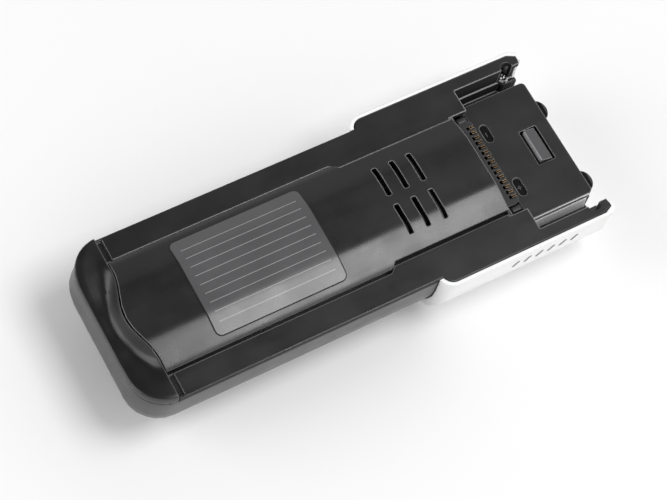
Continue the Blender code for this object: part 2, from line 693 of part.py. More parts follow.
def front_frame(parent):
    """Model the flange plate with its arms, rail channels and locating lips."""
    frame = box("front_frame", (FRAME_START, WIDE_START + SHELL_CORNER + PAST), (-BODY_HALF, BODY_HALF),
                (FRAME_UNDERSIDE, FLANGE_HEIGHT))
    add(frame, prism("wide", wide_plan(INNER_INSET, SHELL_END_WALL + FIT), FRAME_UNDERSIDE, FLANGE_HEIGHT))
    above = (0.0, FLANGE_HEIGHT + PAST)
    cut(frame, box("bay", (FLANGE_END, ARM_TIP + PAST), (-CHANNEL_HALF, CHANNEL_HALF), above))
    cut(frame, prism("opening", cover_opening(COVER_GAP), *above))
    cut(frame, box("recess", (COVER_END, FLANGE_END + PAST), (-RECESS_HALF, RECESS_HALF), above))
    add(frame, *mirrored(trough))
    beam = RECESS_HALF + PAST
    add(frame, box("beam", (RECESS_START - RECESS_BEAM, RECESS_START), (-beam, beam),
                   (FLANGE_HEIGHT - RECESS_BEAM_HEIGHT, FLANGE_HEIGHT - FIT)))
    add(frame, *mirrored(lambda side: locating_lip(side, FRAME_START + TRAY_WALL, SHELL_START, BODY_HALF)))
    wide_lip = WIDE_START + 2 * SHELL_CORNER
    add(frame, *mirrored(lambda side: locating_lip(side, wide_lip, TROUGH_START, WIDE_HALF)))
    add(frame, *mirrored(lambda side: screw_round(side, SCREW_SHANK_RADIUS + FIT + SCREW_BOSS_WALL,
                                                  CHANNEL_FLOOR - CHANNEL_WALL / 2, LEDGE_Z)))
    cut(frame, *mirrored(lambda side: screw_round(side, SCREW_HEAD_RADIUS + SCREW_NOTCH_GAP,
                                                  LEDGE_Z, FLANGE_HEIGHT + PAST)))
    cut(frame, *mirrored(lambda side: screw_round(side, SCREW_SHANK_RADIUS + FIT, 0.0, FLANGE_HEIGHT)))
    cut(frame, *mirrored(cap_pocket))
    return finish(frame, parent, BLACK_SATIN)


def screw_round(side, radius, low, high):
    """Make a round bar on the axis of a channel screw."""
    return prism("round", circle((SCREW_X, side * CHANNEL_HALF), radius, ROUND_SIDES), low, high)


def locating_lip(side, start, end, half):
    """Model a straight lip under the plate that stands inside the wall of the tray."""
    outer = half - TRAY_WALL - FIT
    return box("lip", (start, end), sorted((side * outer, side * (outer - LIP_THICKNESS))),
               (FRAME_UNDERSIDE - LIP_DEPTH, FRAME_UNDERSIDE + FLANGE_THICKNESS / 2))


def cap_pocket(side):
    """Give the shallow pocket in the plate beside the grip cap."""
    outer = BODY_HALF - POCKET_OUTER_WALL
    across = sorted((side * outer, side * (outer - POCKET_WIDTH)))
    return box("pocket", (0.0, FRAME_START + POCKET_LENGTH), across,
               (FLANGE_HEIGHT - POCKET_DEPTH, FLANGE_HEIGHT + PAST))


def cell_cover(parent):
    """Model the raised cover with its lip under the frame and its vent slots."""
    cover = cover_body("cell_cover", 0.0, COVER_UNDERSIDE)
    lip = COVER_HALF + COVER_LIP_WIDTH
    add(cover, box("lip", (CAP_LENGTH + SEAM, COVER_END), (-lip, lip),
                   (COVER_UNDERSIDE, FRAME_UNDERSIDE - FIT)))
    cut(cover, cover_body("hollow", COVER_WALL, COVER_UNDERSIDE - PAST))
    middle = (VENTS_PER_ROW - 1) / 2
    for row in (-1, 1):
        for index in range(VENTS_PER_ROW):
            x = VENT_MIDDLE + (index - middle) * VENT_PITCH
            y = row * VENT_ROW_OFFSET
            plan = rounded_rectangle((x - VENT_WIDTH / 2, y - VENT_LENGTH / 2),
                                     (x + VENT_WIDTH / 2, y + VENT_LENGTH / 2), VENT_WIDTH / 4, 2)
            cut(cover, prism("vent", plan, FLANGE_HEIGHT, COVER_TOP + PAST))
    return finish(cover, parent, BLACK_SATIN)


def cap_rim_height(y):
    """Give the height of the cap's outer rim, which dips in the middle of the end for a fingertip."""
    flat = CAP_DIP_WIDTH / 2
    share = np.clip((np.abs(y) - flat) / (BODY_HALF - flat), 0.0, 1.0)
    return FLANGE_HEIGHT + CAP_RIM_RISE - CAP_RIM_DIP * (1 - share ** 2 * (3 - 2 * share))


def cap_outline():
    """Give the outer edge of the cap from side to side, cut off where the frame starts."""
    whole = np.array(end_outline(BODY_HALF, END_DRAFT, END_DRAFT + END_RADIUS + PAST))
    reach = np.concatenate([[0.0], np.cumsum(np.linalg.norm(np.diff(whole, axis=0), axis=1))])
    places = np.linspace(0.0, reach[-1], 2000)
    dense = np.stack([np.interp(places, reach, whole[:, axis]) for axis in (0, 1)], axis=1)
    return dense[dense[:, 0] <= CAP_LENGTH]


def end_cap(parent):
    """Model the grip cap: an upright rim, a scoop and a sweep up to its wavy inner edge."""
    outer = resample(cap_outline(), 45)
    inner_y = np.linspace(BODY_HALF - CAP_EDGE_INSET, CAP_EDGE_INSET - BODY_HALF, 400)
    inner = resample(np.stack([cap_edge(inner_y), inner_y], axis=1), 45)
    span = inner - outer
    rim = np.minimum(CAP_RIM_BEVEL / np.linalg.norm(span, axis=1), 0.5)
    rim_top = cap_rim_height(outer[:, 1])
    edge_top = np.maximum(cover_height(np.clip(inner[:, 1], -COVER_HALF, COVER_HALF)),
                          FLANGE_HEIGHT + CAP_RIM_RISE)
    shares = [np.zeros_like(rim), 0.3 * rim, rim]
    heights = [rim_top - CAP_RIM_BEVEL, rim_top - 0.3 * CAP_RIM_BEVEL, rim_top]
    sweep = np.maximum(np.linalg.norm(span, axis=1) * (1 - rim) / CAP_SWEEP_LENGTH, 1.0)
    for step in (0.25, 0.45, 0.58, 0.7, 0.81, 0.91, 1.0):
        shares.append(rim + (1 - rim) * step)
        heights.append(rim_top + (edge_top - rim_top) * np.maximum(1 - (1 - step) * sweep, 0.0) ** 2)
    shares = np.array(shares)
    xs = outer[:, 0] + shares * span[:, 0]
    ys = outer[:, 1] + shares * span[:, 1]
    cap = height_solid("end_cap", xs, ys, np.array(heights), FRAME_UNDERSIDE)
    add(cap, cap_lip())
    return finish(cap, parent, BLACK_SATIN, smooth_degrees=40)


def cap_lip():
    """Model the lip under the cap that stands inside the wall of the tray."""
    gap = TRAY_WALL + FIT
    inside = gap + LIP_THICKNESS
    end = CAP_LENGTH - CAP_WAVE_DEPTH - TRAY_WALL
    far = 2 * END_RADIUS
    lip = prism("lip", end_outline(BODY_HALF - gap, END_DRAFT + gap, far), TRAY_RIM - LIP_DEPTH,
                FRAME_UNDERSIDE + FIT)
    cut(lip, prism("inside", end_outline(BODY_HALF - inside, END_DRAFT + inside, far + PAST),
                   0.0, FLANGE_HEIGHT))
    cut(lip, box("beyond", (end, far + PAST), (-BODY_HALF, BODY_HALF), (0.0, FLANGE_HEIGHT)))
    return lip


def resample(points, count):
    """Give evenly spaced points along a polyline."""
    reach = np.concatenate([[0.0], np.cumsum(np.linalg.norm(np.diff(points, axis=0), axis=1))])
    places = np.linspace(0.0, reach[-1], count)
    return np.stack([np.interp(places, reach, points[:, axis]) for axis in (0, 1)], axis=1)


def connector_cover(parent):
    """Model the sunken platform with its latch slot, oblong recesses, ribs and pivot ears."""
    plan = ([(PLATFORM_START, -PLATFORM_HALF)]
            + corner((PLATFORM_END - PLATFORM_CORNER, PLATFORM_CORNER - PLATFORM_HALF), PLATFORM_CORNER, 270)
            + corner((PLATFORM_END - PLATFORM_CORNER, PLATFORM_HALF - PLATFORM_CORNER), PLATFORM_CORNER, 0)
            + [(PLATFORM_START, PLATFORM_HALF)])
    cover = prism("connector_cover", plan, PLATFORM_UNDERSIDE, PLATFORM_TOP)
    slot = TONGUE_WIDTH / 2 + TONGUE_SLOT_SIDE
    slot_end = TONGUE_X + TONGUE_LENGTH + TONGUE_SLOT_FRONT
    cut(cover, box("slot", (TONGUE_X - TONGUE_SLOT_BACK, slot_end), (-slot, slot),
                   (PLATFORM_UNDERSIDE - PAST, PLATFORM_TOP + PAST)))
    cut(cover, *mirrored(lambda side: prism(
        "oblong", stadium((OBLONG_X, side * OBLONG_OFFSET), OBLONG_LENGTH, OBLONG_WIDTH, along_y=True),
        PLATFORM_TOP - OBLONG_DEPTH, PLATFORM_TOP + PAST)))
    rib = RAIL_HALF - CHANNEL_WALL - FIT
    add(cover, *mirrored(lambda side: box(
        "rib", (PLATFORM_START + PAST, TRAY_END - TRAY_END_WALL - PAST),
        sorted((side * rib, side * (rib - LIP_THICKNESS))),
        (PLATFORM_UNDERSIDE - LIP_DEPTH, PLATFORM_UNDERSIDE + PLATFORM_THICKNESS / 2))))
    add(cover, *mirrored(pivot_ear))
    return finish(cover, parent, BLACK_SATIN)


def pivot_ear(side):
    """Model one ear under the platform that carries the latch pin."""
    inner = TONGUE_WIDTH / 2 + FIT * 2
    half = EAR_LENGTH / 2
    ear = box("ear", (PIVOT_X - half, PIVOT_X + half), sorted((side * inner, side * (inner + EAR_THICKNESS))),
              (PIVOT_Z - half, PLATFORM_UNDERSIDE + PLATFORM_THICKNESS / 2))
    cut(ear, run_bar("bore", PIN_RADIUS + FIT, SHELL_HALF))
    return ear


def run_bar(name, radius, half_width):
    """Make a round bar on the latch's pivot axis."""
    return run_along_y(name, circle((PIVOT_X, PIVOT_Z), radius, SMALL_ROUND_SIDES), half_width)


def side_shell(parent):
    """Model the white shell round the sides and back of the connector end."""
    shell = wide_body("side_shell", 0.0, 0.0, FLANGE_HEIGHT)
    cut(shell, wide_body("inside", SHELL_WALL, SHELL_END_WALL, FLANGE_HEIGHT + PAST))
    cut(shell, run_along_x("passage", belly_section(BODY_HALF + FIT, -PAST, FLANGE_HEIGHT + PAST),
                           SHELL_START - PAST, SHELL_START + SHELL_END_WALL + FIT))
    mouth = belly_section(CHANNEL_HALF + CHANNEL_WALL, 2 * SHELL_CORNER, FLANGE_HEIGHT + PAST)
    cut(shell, run_along_x("mouth", mouth, SHELL_TIP - PAST, SHELL_TIP + PAST))
    for side in (1, -1):
        for index in range(SIDE_SLOT_COUNT):
            x = SHELL_TIP - SIDE_SLOT_FROM_TIP + (index - (SIDE_SLOT_COUNT - 1) / 2) * SIDE_SLOT_PITCH
            cut(shell, side_slot(side, x))
    cut(shell, button_hole(SHELL_WALL + PAST))
    return finish(shell, parent, WHITE_GLOSS)


def side_slot(side, x):
    """Give the cutter of one leaning slot in the side of the shell."""
    upright = stadium((0.0, 0.0), SIDE_SLOT_LENGTH, SIDE_SLOT_WIDTH, along_y=True, steps=2)
    cosine, sine = math.cos(SIDE_SLOT_LEAN), math.sin(SIDE_SLOT_LEAN)
    middle = FLANGE_HEIGHT - SIDE_SLOT_DEPTH
    turned = [(x + a * cosine + b * sine, middle - a * sine + b * cosine) for a, b in upright]
    reach = (side * (WIDE_HALF + FIT / 2), side * (SHELL_HALF + PAST))
    return loft("slot", [[(a, y, z) for a, z in turned] for y in reach])


def label(parent):
    """Model the sticker, which follows the cover over its crown and shoulders."""
    ys = np.linspace(-LABEL_WIDTH / 2, LABEL_WIDTH / 2, 25)[None, :] * np.ones((2, 1))
    xs = np.array([LABEL_START, LABEL_START + LABEL_LENGTH])[:, None] * np.ones((1, 25))
    top = height_solid("label", xs, ys, cover_height(ys) + LABEL_GAP + LABEL_THICKNESS, FLANGE_HEIGHT)
    past = np.array([[-PAST], [PAST]])
    under = ys * 1.1
    cut(top, height_solid("under", xs + past, under, cover_height(under) + LABEL_GAP, FLANGE_HEIGHT - PAST))
    keep_inside(top, prism("plan", rounded_rectangle(
        (LABEL_START, -LABEL_WIDTH / 2), (LABEL_START + LABEL_LENGTH, LABEL_WIDTH / 2), LABEL_CORNER, 4),
        FLANGE_HEIGHT, COVER_TOP + PAST))
    return finish(top, parent, LABEL_GREY)


def contact_place(index):
    """Give the y of one contact in the row."""
    return (index - (CONTACT_COUNT - 1) / 2) * CONTACT_PITCH


def contact_carrier(parent):
    """Model the block that holds the row of contacts, with one slot for each."""
    low = BOARD_TOP + FIT
    turn = CARRIER_CORNER
    plan = ([(CARRIER_START, -CARRIER_HALF)] + corner((CARRIER_END - turn, turn - CARRIER_HALF), turn, 270)
            + corner((CARRIER_END - turn, CARRIER_HALF - turn), turn, 0) + [(CARRIER_START, CARRIER_HALF)])
    carrier = prism("contact_carrier", plan, low, CARRIER_TOP)
    half = CONTACT_WIDTH / 2 + CONTACT_SLOT_SIDE_GAP
    reach = (CONTACT_START - CONTACT_SLOT_BACK, CARRIER_END + PAST)
    for index in range(CONTACT_COUNT):
        y = contact_place(index)
        cut(carrier, box("slot", reach, (y - half, y + half), (low + CARRIER_BASE, CARRIER_TOP + PAST)))
    return finish(carrier, parent, BLACK_SATIN)


def contacts(parent):
    """Model the fork contacts: two leaves on a base, drawn together below a flared mouth."""
    half = CONTACT_WIDTH / 2
    low = BOARD_TOP + FIT + CARRIER_BASE + FIT
    high = CARRIER_TOP + CONTACT_PROUD
    throat = low + (high - low) * 0.72
    inner = half - CONTACT_SHEET
    right = [(inner, low + CONTACT_SHEET), (inner - CONTACT_FLARE, throat), (inner, high)]
    outer = [(half, high), (half - CONTACT_FLARE, throat), (half, low)]
    section = right + outer + [(-y, z) for y, z in reversed(outer)] + [(-y, z) for y, z in reversed(right)]
    mesh = run_along_x("contact_01", section, 0.0, CONTACT_LENGTH)
    first = finish(mesh, parent, BRASS)
    first.location = (CONTACT_START, contact_place(0), 0.0)
    made = [first]
    for index in range(1, CONTACT_COUNT):
        copy = first.copy()
        copy.name = f"contact_{index + 1:02d}"
        copy.location = (CONTACT_START, contact_place(index), 0.0)
        bpy.context.scene.collection.objects.link(copy)
        made.append(copy)
    return made


def lever_profile():
    """Give the side profile of the latch lever: catch tongue, arm, hub and the arm to the button."""
    tongue_top = PLATFORM_TOP + TONGUE_RISE
    front = TONGUE_X + TONGUE_LENGTH
    arm_top = PIVOT_Z + HUB_RADIUS
    left = PIVOT_X - HUB_RADIUS
    low = LEVER_ARM_Z - LEVER_ARM_THICKNESS
    arm_end = BUTTON_X - LEVER_ARM_OVERHANG
    return [(TONGUE_X, tongue_top), (TONGUE_X, arm_top), (left, arm_top), (left, LEVER_ARM_Z + HUB_RADIUS / 2),
            (left - HUB_RADIUS / 2, LEVER_ARM_Z), (arm_end, LEVER_ARM_Z), (arm_end, low), (left, low),
            (PIVOT_X + HUB_RADIUS, PIVOT_Z - HUB_RADIUS), (PIVOT_X + 2 * HUB_RADIUS, LEVER_UNDERSIDE),
            (front, LEVER_UNDERSIDE), (front, tongue_top - TONGUE_RAMP)]


def latch_lever(parent):
    """Model the latch lever, with its origin on the pivot axis."""
    lever = run_along_y("latch_lever", lever_profile(), TONGUE_WIDTH / 2)
    cut(lever, run_bar("bore", PIN_RADIUS + FIT, SHELL_HALF))
    return finish(lever, parent, LATCH_GREY, (PIVOT_X, 0.0, PIVOT_Z))


def latch_pin(parent):
    """Model the pivot pin of the latch."""
    return finish(run_bar("latch_pin", PIN_RADIUS, PIN_HALF), parent, STEEL)


def latch_spring(parent):
    """Model the coil under the lever as one tube with its ends turned flat."""
    count = SPRING_TURNS * 10
    share = np.linspace(0.0, 1.0, count + 1)
    rise = np.clip((share - 0.12) / 0.76, 0.0, 1.0)
    angle = share * SPRING_TURNS * 2 * math.pi
    wire = SPRING_WIRE / 2
    low, high = SPRING_BOTTOM + wire, SPRING_TOP - wire
    path = np.stack([SPRING_X + SPRING_RADIUS * np.cos(angle), SPRING_RADIUS * np.sin(angle),
                     low + wire * share * 2 + (high - low - 2 * wire) * rise], axis=1)
    outward = np.stack([np.cos(angle), np.sin(angle), 0 * angle], axis=1)
    upward = np.array([0.0, 0.0, 1.0])
    rings = [[point + wire * (math.cos(a) * out + math.sin(a) * upward)
              for a in np.arange(6) * math.pi / 3] for point, out in zip(path, outward)]
    return finish(loft("latch_spring", rings), parent, STEEL, (SPRING_X, 0.0, SPRING_BOTTOM), 60)


def release_button(parent):
    """Model the release button with its retaining lip and its stem, on the line that it slides along."""
    lip_low = FLOOR_Z + FIT
    lip_middle = lip_low + BUTTON_LIP_THICKNESS / 2
    place = (BUTTON_X, 0)
    button = prism("release_button", stadium(place, BUTTON_LENGTH, BUTTON_WIDTH), BUTTON_RECESS, lip_middle)
    add(button, prism("lip", stadium(place, BUTTON_LENGTH + 2 * BUTTON_LIP, BUTTON_WIDTH + 2 * BUTTON_LIP),
                      lip_low, lip_low + BUTTON_LIP_THICKNESS))
    add(button, box("stem", (BUTTON_X - STEM_LENGTH / 2, BUTTON_X + STEM_LENGTH / 2),
                    (-STEM_WIDTH / 2, STEM_WIDTH / 2),
                    (lip_middle, LEVER_ARM_Z - LEVER_ARM_THICKNESS - FIT)))
    return finish(button, parent, LATCH_GREY, (BUTTON_X, 0.0, 0.0))


def cells(parent):
    """Model the eight cells: two by two, in two lengths, each with its raised positive cap."""
    rim = CELL_RADIUS - CELL_CAP_RISE * 2
    stations = [(0.0, rim), (CELL_CAP_RISE * 2, CELL_RADIUS), (CELL_LENGTH - CELL_CAP_RISE * 2, CELL_RADIUS),
                (CELL_LENGTH, rim), (CELL_LENGTH, CELL_CAP_RADIUS),
                (CELL_LENGTH + CELL_CAP_RISE, CELL_CAP_RADIUS)]
    rings = [[(x, y, z) for y, z in circle((0, 0), radius, ROUND_SIDES)] for x, radius in stations]
    made = []
    for start in (CELL_START, FRONT_CELL_START):
        for z in (LOW_CELL_Z, HIGH_CELL_Z):
            for y in (-CELL_SPACING / 2, CELL_SPACING / 2):
                name = f"cell_{len(made) + 1}"
                if made:
                    cell = made[0].copy()
                    cell.name = name
                    bpy.context.scene.collection.objects.link(cell)
                else:
                    cell = finish(loft(name, rings), parent, CELL_WRAP)
                cell.location = (start, y, z)
                made.append(cell)
    return made


def block(low, high):
    """Give the four corners of a rectangle between two (y, z) corners."""
    return [low, (high[0], low[1]), high, (low[0], high[1])]


def cell_holder(parent, name, start, thickness):
    """Model one plate with four holes that keeps the cells apart."""
    outline = rounded_rectangle((-HOLDER_HALF, HOLDER_BOTTOM), (HOLDER_HALF, HOLDER_TOP), HOLDER_CORNER, 4)
    holder = run_along_x(name, outline, start, start + thickness)
    for z in (LOW_CELL_Z, HIGH_CELL_Z):
        for y in (-CELL_SPACING / 2, CELL_SPACING / 2):
            cut(holder, run_along_x("hole", circle((y, z), CELL_RADIUS + FIT, ROUND_SIDES), start - PAST,
                                    start + thickness + PAST))
    return finish(holder, parent, HOLDER_PLASTIC)


def strip(parent, name, x, outline):
    """Model one weld strip from its outline across the pack."""
    return finish(run_along_x(name, outline, x, x + STRIP_THICKNESS), parent, NICKEL)


def weld_strips(parent):
    """Model the links between the cells and the two output tabs that rise to the board."""
    half = STRIP_WIDTH / 2
    side = CELL_SPACING / 2
    rear = CELL_START - FIT - STRIP_THICKNESS
    joint = CELL_START + CELL_LENGTH + CELL_CAP_RISE + (CELL_JOINT - CELL_CAP_RISE - STRIP_THICKNESS) / 2
    for name, sign in (("far", 1), ("near", -1)):
        y = sign * side
        link = block((y - half, LOW_CELL_Z - half), (y + half, HIGH_CELL_Z + half))
        strip(parent, f"rear_link_{name}", rear, link)
        for level, z in (("low", LOW_CELL_Z), ("high", HIGH_CELL_Z)):
            link = circle((y, z), MIDDLE_LINK_RADIUS, SMALL_ROUND_SIDES)
            strip(parent, f"middle_link_{level}_{name}", joint, link)
        edge = side + half
        riser = [(side - half, LOW_CELL_Z - half), (edge + STRIP_RISER_WIDTH, LOW_CELL_Z - half),
                 (edge + STRIP_RISER_WIDTH, BOARD_TOP), (edge + FIT * 2, BOARD_TOP),
                 (edge + FIT * 2, LOW_CELL_Z + half), (side - half, LOW_CELL_Z + half)]
        strip(parent, f"output_tab_{name}", FRONT_STRIP_X, [(sign * a, z) for a, z in riser])
    strip(parent, "front_link", FRONT_STRIP_X,
          block((-side - half, HIGH_CELL_Z - half), (side + half, HIGH_CELL_Z + half)))


def circuit_board(parent):
    """Model the board that the output tabs and the contact carrier meet."""
    outline = rounded_rectangle((BOARD_START, -BOARD_HALF), (BOARD_END, BOARD_HALF), 2 * FIT, 2)
    return finish(prism("circuit_board", outline, BOARD_UNDERSIDE, BOARD_TOP), parent, BOARD_MASK)


def channel_screw(parent, name, side):
    """Model one cross-head screw that holds the frame to the tray."""
    middle = (SCREW_X, side * CHANNEL_HALF)
    seat = LEDGE_Z + FIT
    top = seat + SCREW_HEAD_HEIGHT
    levels = [(LEDGE_Z - SCREW_LENGTH, SCREW_SHANK_RADIUS), (seat, SCREW_SHANK_RADIUS),
              (seat, SCREW_HEAD_RADIUS), (seat + SCREW_HEAD_HEIGHT * 0.6, SCREW_HEAD_RADIUS),
              (top, SCREW_HEAD_RADIUS * 0.7)]
    rings = [[(x, y, z) for x, y in circle(middle, radius, ROUND_SIDES)] for z, radius in levels]
    screw = loft(name, rings)
    reach = SCREW_HEAD_RADIUS * 0.6
    half = SCREW_SLOT_WIDTH / 2
    for a, b in ((reach, half), (half, reach)):
        cut(screw, box("slot", (middle[0] - a, middle[0] + a), (middle[1] - b, middle[1] + b),
                       (top - SCREW_SLOT_DEPTH, top + PAST)))
    return finish(screw, parent, STEEL)


def main():
    """Build the pack and set its origin under the middle of its box."""
    clear_scene()
    origin = bpy.data.objects.new("pack_origin", None)
    bpy.context.scene.collection.objects.link(origin)
    origin.location = (-OVERALL_LENGTH / 2, 0.0, 0.0)
    back_tray(origin)
    front_frame(origin)
    cell_cover(origin)
    end_cap(origin)
    connector_cover(origin)
    side_shell(origin)
    label(origin)
    contact_carrier(origin)
    contacts(origin)
    latch_lever(origin)
    latch_pin(origin)
    latch_spring(origin)
    release_button(origin)
    cells(origin)
    cell_holder(origin, "rear_cell_holder", CELL_START + HOLDER_FROM_END, HOLDER_THICKNESS)
    cell_holder(origin, "middle_cell_holder",
                CELL_START + CELL_LENGTH + (CELL_JOINT - MIDDLE_HOLDER_THICKNESS) / 2, MIDDLE_HOLDER_THICKNESS)
    cell_holder(origin, "front_cell_holder", CELL_END - HOLDER_THICKNESS * 1.25, HOLDER_THICKNESS)
    weld_strips(origin)
    circuit_board(origin)
    channel_screw(origin, "channel_screw_far", 1)
    channel_screw(origin, "channel_screw_near", -1)


main()
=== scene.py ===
"""Looks of a slide-in rechargeable battery pack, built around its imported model.

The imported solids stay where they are. This file shades them smoothly, gives each one a procedural
finish, adds the small pieces that the solids leave out, and sets up the studio and the camera.
Lengths are in metres.
"""

import logging
import math
from collections.abc import Callable
from dataclasses import dataclass
from enum import Enum
from functools import cache

import bmesh
import bpy
import numpy as np
from bpy.types import ID, Material, Mesh, Node, NodeOutputs, NodeSocket, NodeTree, Object
from mathutils import Matrix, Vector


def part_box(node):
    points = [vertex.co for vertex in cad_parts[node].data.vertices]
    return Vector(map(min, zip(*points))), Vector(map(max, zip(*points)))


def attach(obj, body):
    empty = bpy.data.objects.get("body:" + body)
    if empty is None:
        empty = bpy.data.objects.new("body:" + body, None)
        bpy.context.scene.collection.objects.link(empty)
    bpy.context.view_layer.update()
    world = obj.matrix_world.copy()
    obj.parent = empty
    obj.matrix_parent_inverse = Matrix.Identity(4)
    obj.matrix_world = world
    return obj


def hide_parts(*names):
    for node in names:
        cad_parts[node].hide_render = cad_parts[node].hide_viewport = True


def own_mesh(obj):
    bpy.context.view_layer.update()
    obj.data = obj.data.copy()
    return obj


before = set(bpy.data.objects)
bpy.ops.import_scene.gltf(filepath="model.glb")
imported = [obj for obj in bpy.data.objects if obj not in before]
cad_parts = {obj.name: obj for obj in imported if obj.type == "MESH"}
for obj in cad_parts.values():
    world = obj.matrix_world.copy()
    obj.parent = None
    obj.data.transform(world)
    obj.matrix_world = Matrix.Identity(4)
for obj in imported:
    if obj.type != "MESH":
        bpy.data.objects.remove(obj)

LOG = logging.getLogger("battery_pack")
Colour = tuple[float, float, float]
Point = tuple[float, float, float]
Span = tuple[float, float]
GroupMaker = Callable[[], NodeTree]

# Types of the sockets of a node group
FLOAT, VECTOR = "NodeSocketFloat", "NodeSocketVector"
# The two sides of the pack: sign of y, and the word in the names of pieces
SIDES = ((1.0, "far"), (-1.0, "near"))

# Cosines of the bend in the normal at which the mask of an edge is full and gone
EDGE_COSINES = (0.82, 0.97)
BEVEL_SAMPLES = 8
# How much coarser the mottle is than the grain, and where a noise has nearly all its values
MOTTLE_RATIO = 40.0
NOISE_SPAN = (0.3, 0.7)
# Handling marks: angle and stretch of the streaks, and the noise values from which they show
STREAK_TURN = math.radians(24)
STREAK_STRETCH = (0.25, 1.6, 1.0)
STREAK_SPAN = (0.35, 0.70)
# Specks of dust: cycles per metre, and the radii, in cycles, at which a speck is full and gone
SPECK_SCALE = 420.0
SPECK_SPAN = (0.02, 0.09)
# Upward shares of the normal at which the mask of a wall is full and gone
WALL_SPAN = (0.25, 0.75)
# Width over which the zone of painted edge highlights fades out
ZONE_FADE = 0.001
# Height of a relief of full strength
BUMP_DISTANCE = 0.0001

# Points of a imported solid, or of a new mesh, that lie nearer than this are one point
SOLID_MERGE = 2e-6
MESH_MERGE = 1e-7
# Sharpest bend of a new mesh that is still shaded smoothly
MESH_SMOOTH = math.radians(40)


class Body(Enum):
    """The moving bodies that new pieces ride on."""

    HOUSING = "housing"
    LATCH = "latch"


class Grain(Enum):
    """How a moulded face was finished in its tool: grain size in cycles per metre."""

    FINE = 4200.0
    SATIN = 2200.0
    POLISHED = 900.0


# Node trees

class Wiring:
    """Adds and joins nodes in one node tree."""

    def __init__(self, tree: NodeTree) -> None:
        """Keep the tree that the nodes go into."""
        self.tree = tree

    def node(self, kind: str, values: dict[str | int, object] | None = None,
             **settings: object) -> Node:
        """Add a node.

        Args:
            kind: the node's type, without the ShaderNode prefix.
            values: constant values for its sockets, by name or index.
            settings: attributes of the node.

        Returns:
            The new node.
        """
        made = self.tree.nodes.new("ShaderNode" + kind)
        for key, value in settings.items():
            setattr(made, key, value)
        for key, value in (values or {}).items():
            made.inputs[key].default_value = value
        return made

    def join(self, start: NodeSocket, end: NodeSocket) -> None:
        """Link two sockets."""
        self.tree.links.new(start, end)

    def feed(self, value: object, end: NodeSocket) -> None:
        """Link a socket to an input, or set the input to a constant.

        Args:
            value: a socket or a constant.
            end: the input that takes it.
        """
        if isinstance(value, NodeSocket):
            self.join(value, end)
        else:
            end.default_value = value

    def math(self, operation: str, first: object, second: object = 0.0,
             clamp: bool = False) -> NodeSocket:
        """Add a Math node over sockets or numbers.

        Args:
            operation: the Math node's operation.
            first: a socket or a number.
            second: a socket or a number.
            clamp: keep the result from 0 to 1.

        Returns:
            The result's socket.
        """
        made = self.node("Math", operation=operation, use_clamp=clamp)
        self.feed(first, made.inputs[0])
        self.feed(second, made.inputs[1])
        return made.outputs[0]

    def spread(self, value: NodeSocket, results: Span, given: Span = (0.0, 1.0)) -> NodeSocket:
        """Map a value evenly from one span to another, held at both ends.

        Args:
            value: the socket to map.
            results: what comes out at both ends.
            given: both ends of what comes in.

        Returns:
            The mapped socket.
        """
        made = self.node("MapRange", dict(enumerate((*given, *results), start=1)))
        self.join(value, made.inputs[0])
        return made.outputs[0]

    def tint(self, mask: NodeSocket, low: object, high: object) -> NodeSocket:
        """Mix two colours by a mask.

        Args:
            mask: the share of the second colour.
            low: colour at 0, as a socket or a constant.
            high: colour at 1, as a socket or a constant.

        Returns:
            The mixed colour's socket.
        """
        made = self.node("Mix", data_type="RGBA")
        self.join(mask, made.inputs[0])
        for place, colour in ((6, low), (7, high)):
            linked = isinstance(colour, NodeSocket)
            self.feed(colour if linked else (*colour, 1.0), made.inputs[place])
        return made.outputs[2]

    def noise(self, vector: NodeSocket, scale: NodeSocket, detail: float,
              roughness: float) -> NodeSocket:
        """Add a noise.

        Args:
            vector: the place that it is taken at.
            scale: its cycles per metre.
            detail: how many finer noises go over it.
            roughness: how strong each of those is.

        Returns:
            The noise's value.
        """
        made = self.node("TexNoise", {"Detail": detail, "Roughness": roughness})
        self.join(vector, made.inputs["Vector"])
        self.join(scale, made.inputs["Scale"])
        return made.outputs[0]

    def place(self) -> NodeOutputs:
        """Take the place on the piece apart.

        Returns:
            Sockets X, Y and Z of the Object coordinates.
        """
        split = self.node("SeparateXYZ")
        self.join(self.node("TexCoord").outputs["Object"], split.inputs[0])
        return split.outputs


class EffectGroup(Wiring):
    """A shader node group with named sockets, and the wiring of its nodes."""

    def __init__(self, name: str, inputs: dict[str, float], outputs: tuple[str, ...]) -> None:
        """Start the group with its Group Input and Group Output nodes.

        Args:
            name: the group's name.
            inputs: each number that goes in, with its default value.
            outputs: what comes out: numbers, and a vector where the name is Normal.
        """
        super().__init__(bpy.data.node_groups.new(name, "ShaderNodeTree"))
        for label, value in inputs.items():
            socket = self.tree.interface.new_socket(label, in_out="INPUT", socket_type=FLOAT)
            socket.default_value = value
        for label in outputs:
            kind = VECTOR if label == "Normal" else FLOAT
            self.tree.interface.new_socket(label, in_out="OUTPUT", socket_type=kind)
        self.source = self.tree.nodes.new("NodeGroupInput").outputs
        self.target = self.tree.nodes.new("NodeGroupOutput").inputs


# Shared effects, each one node group

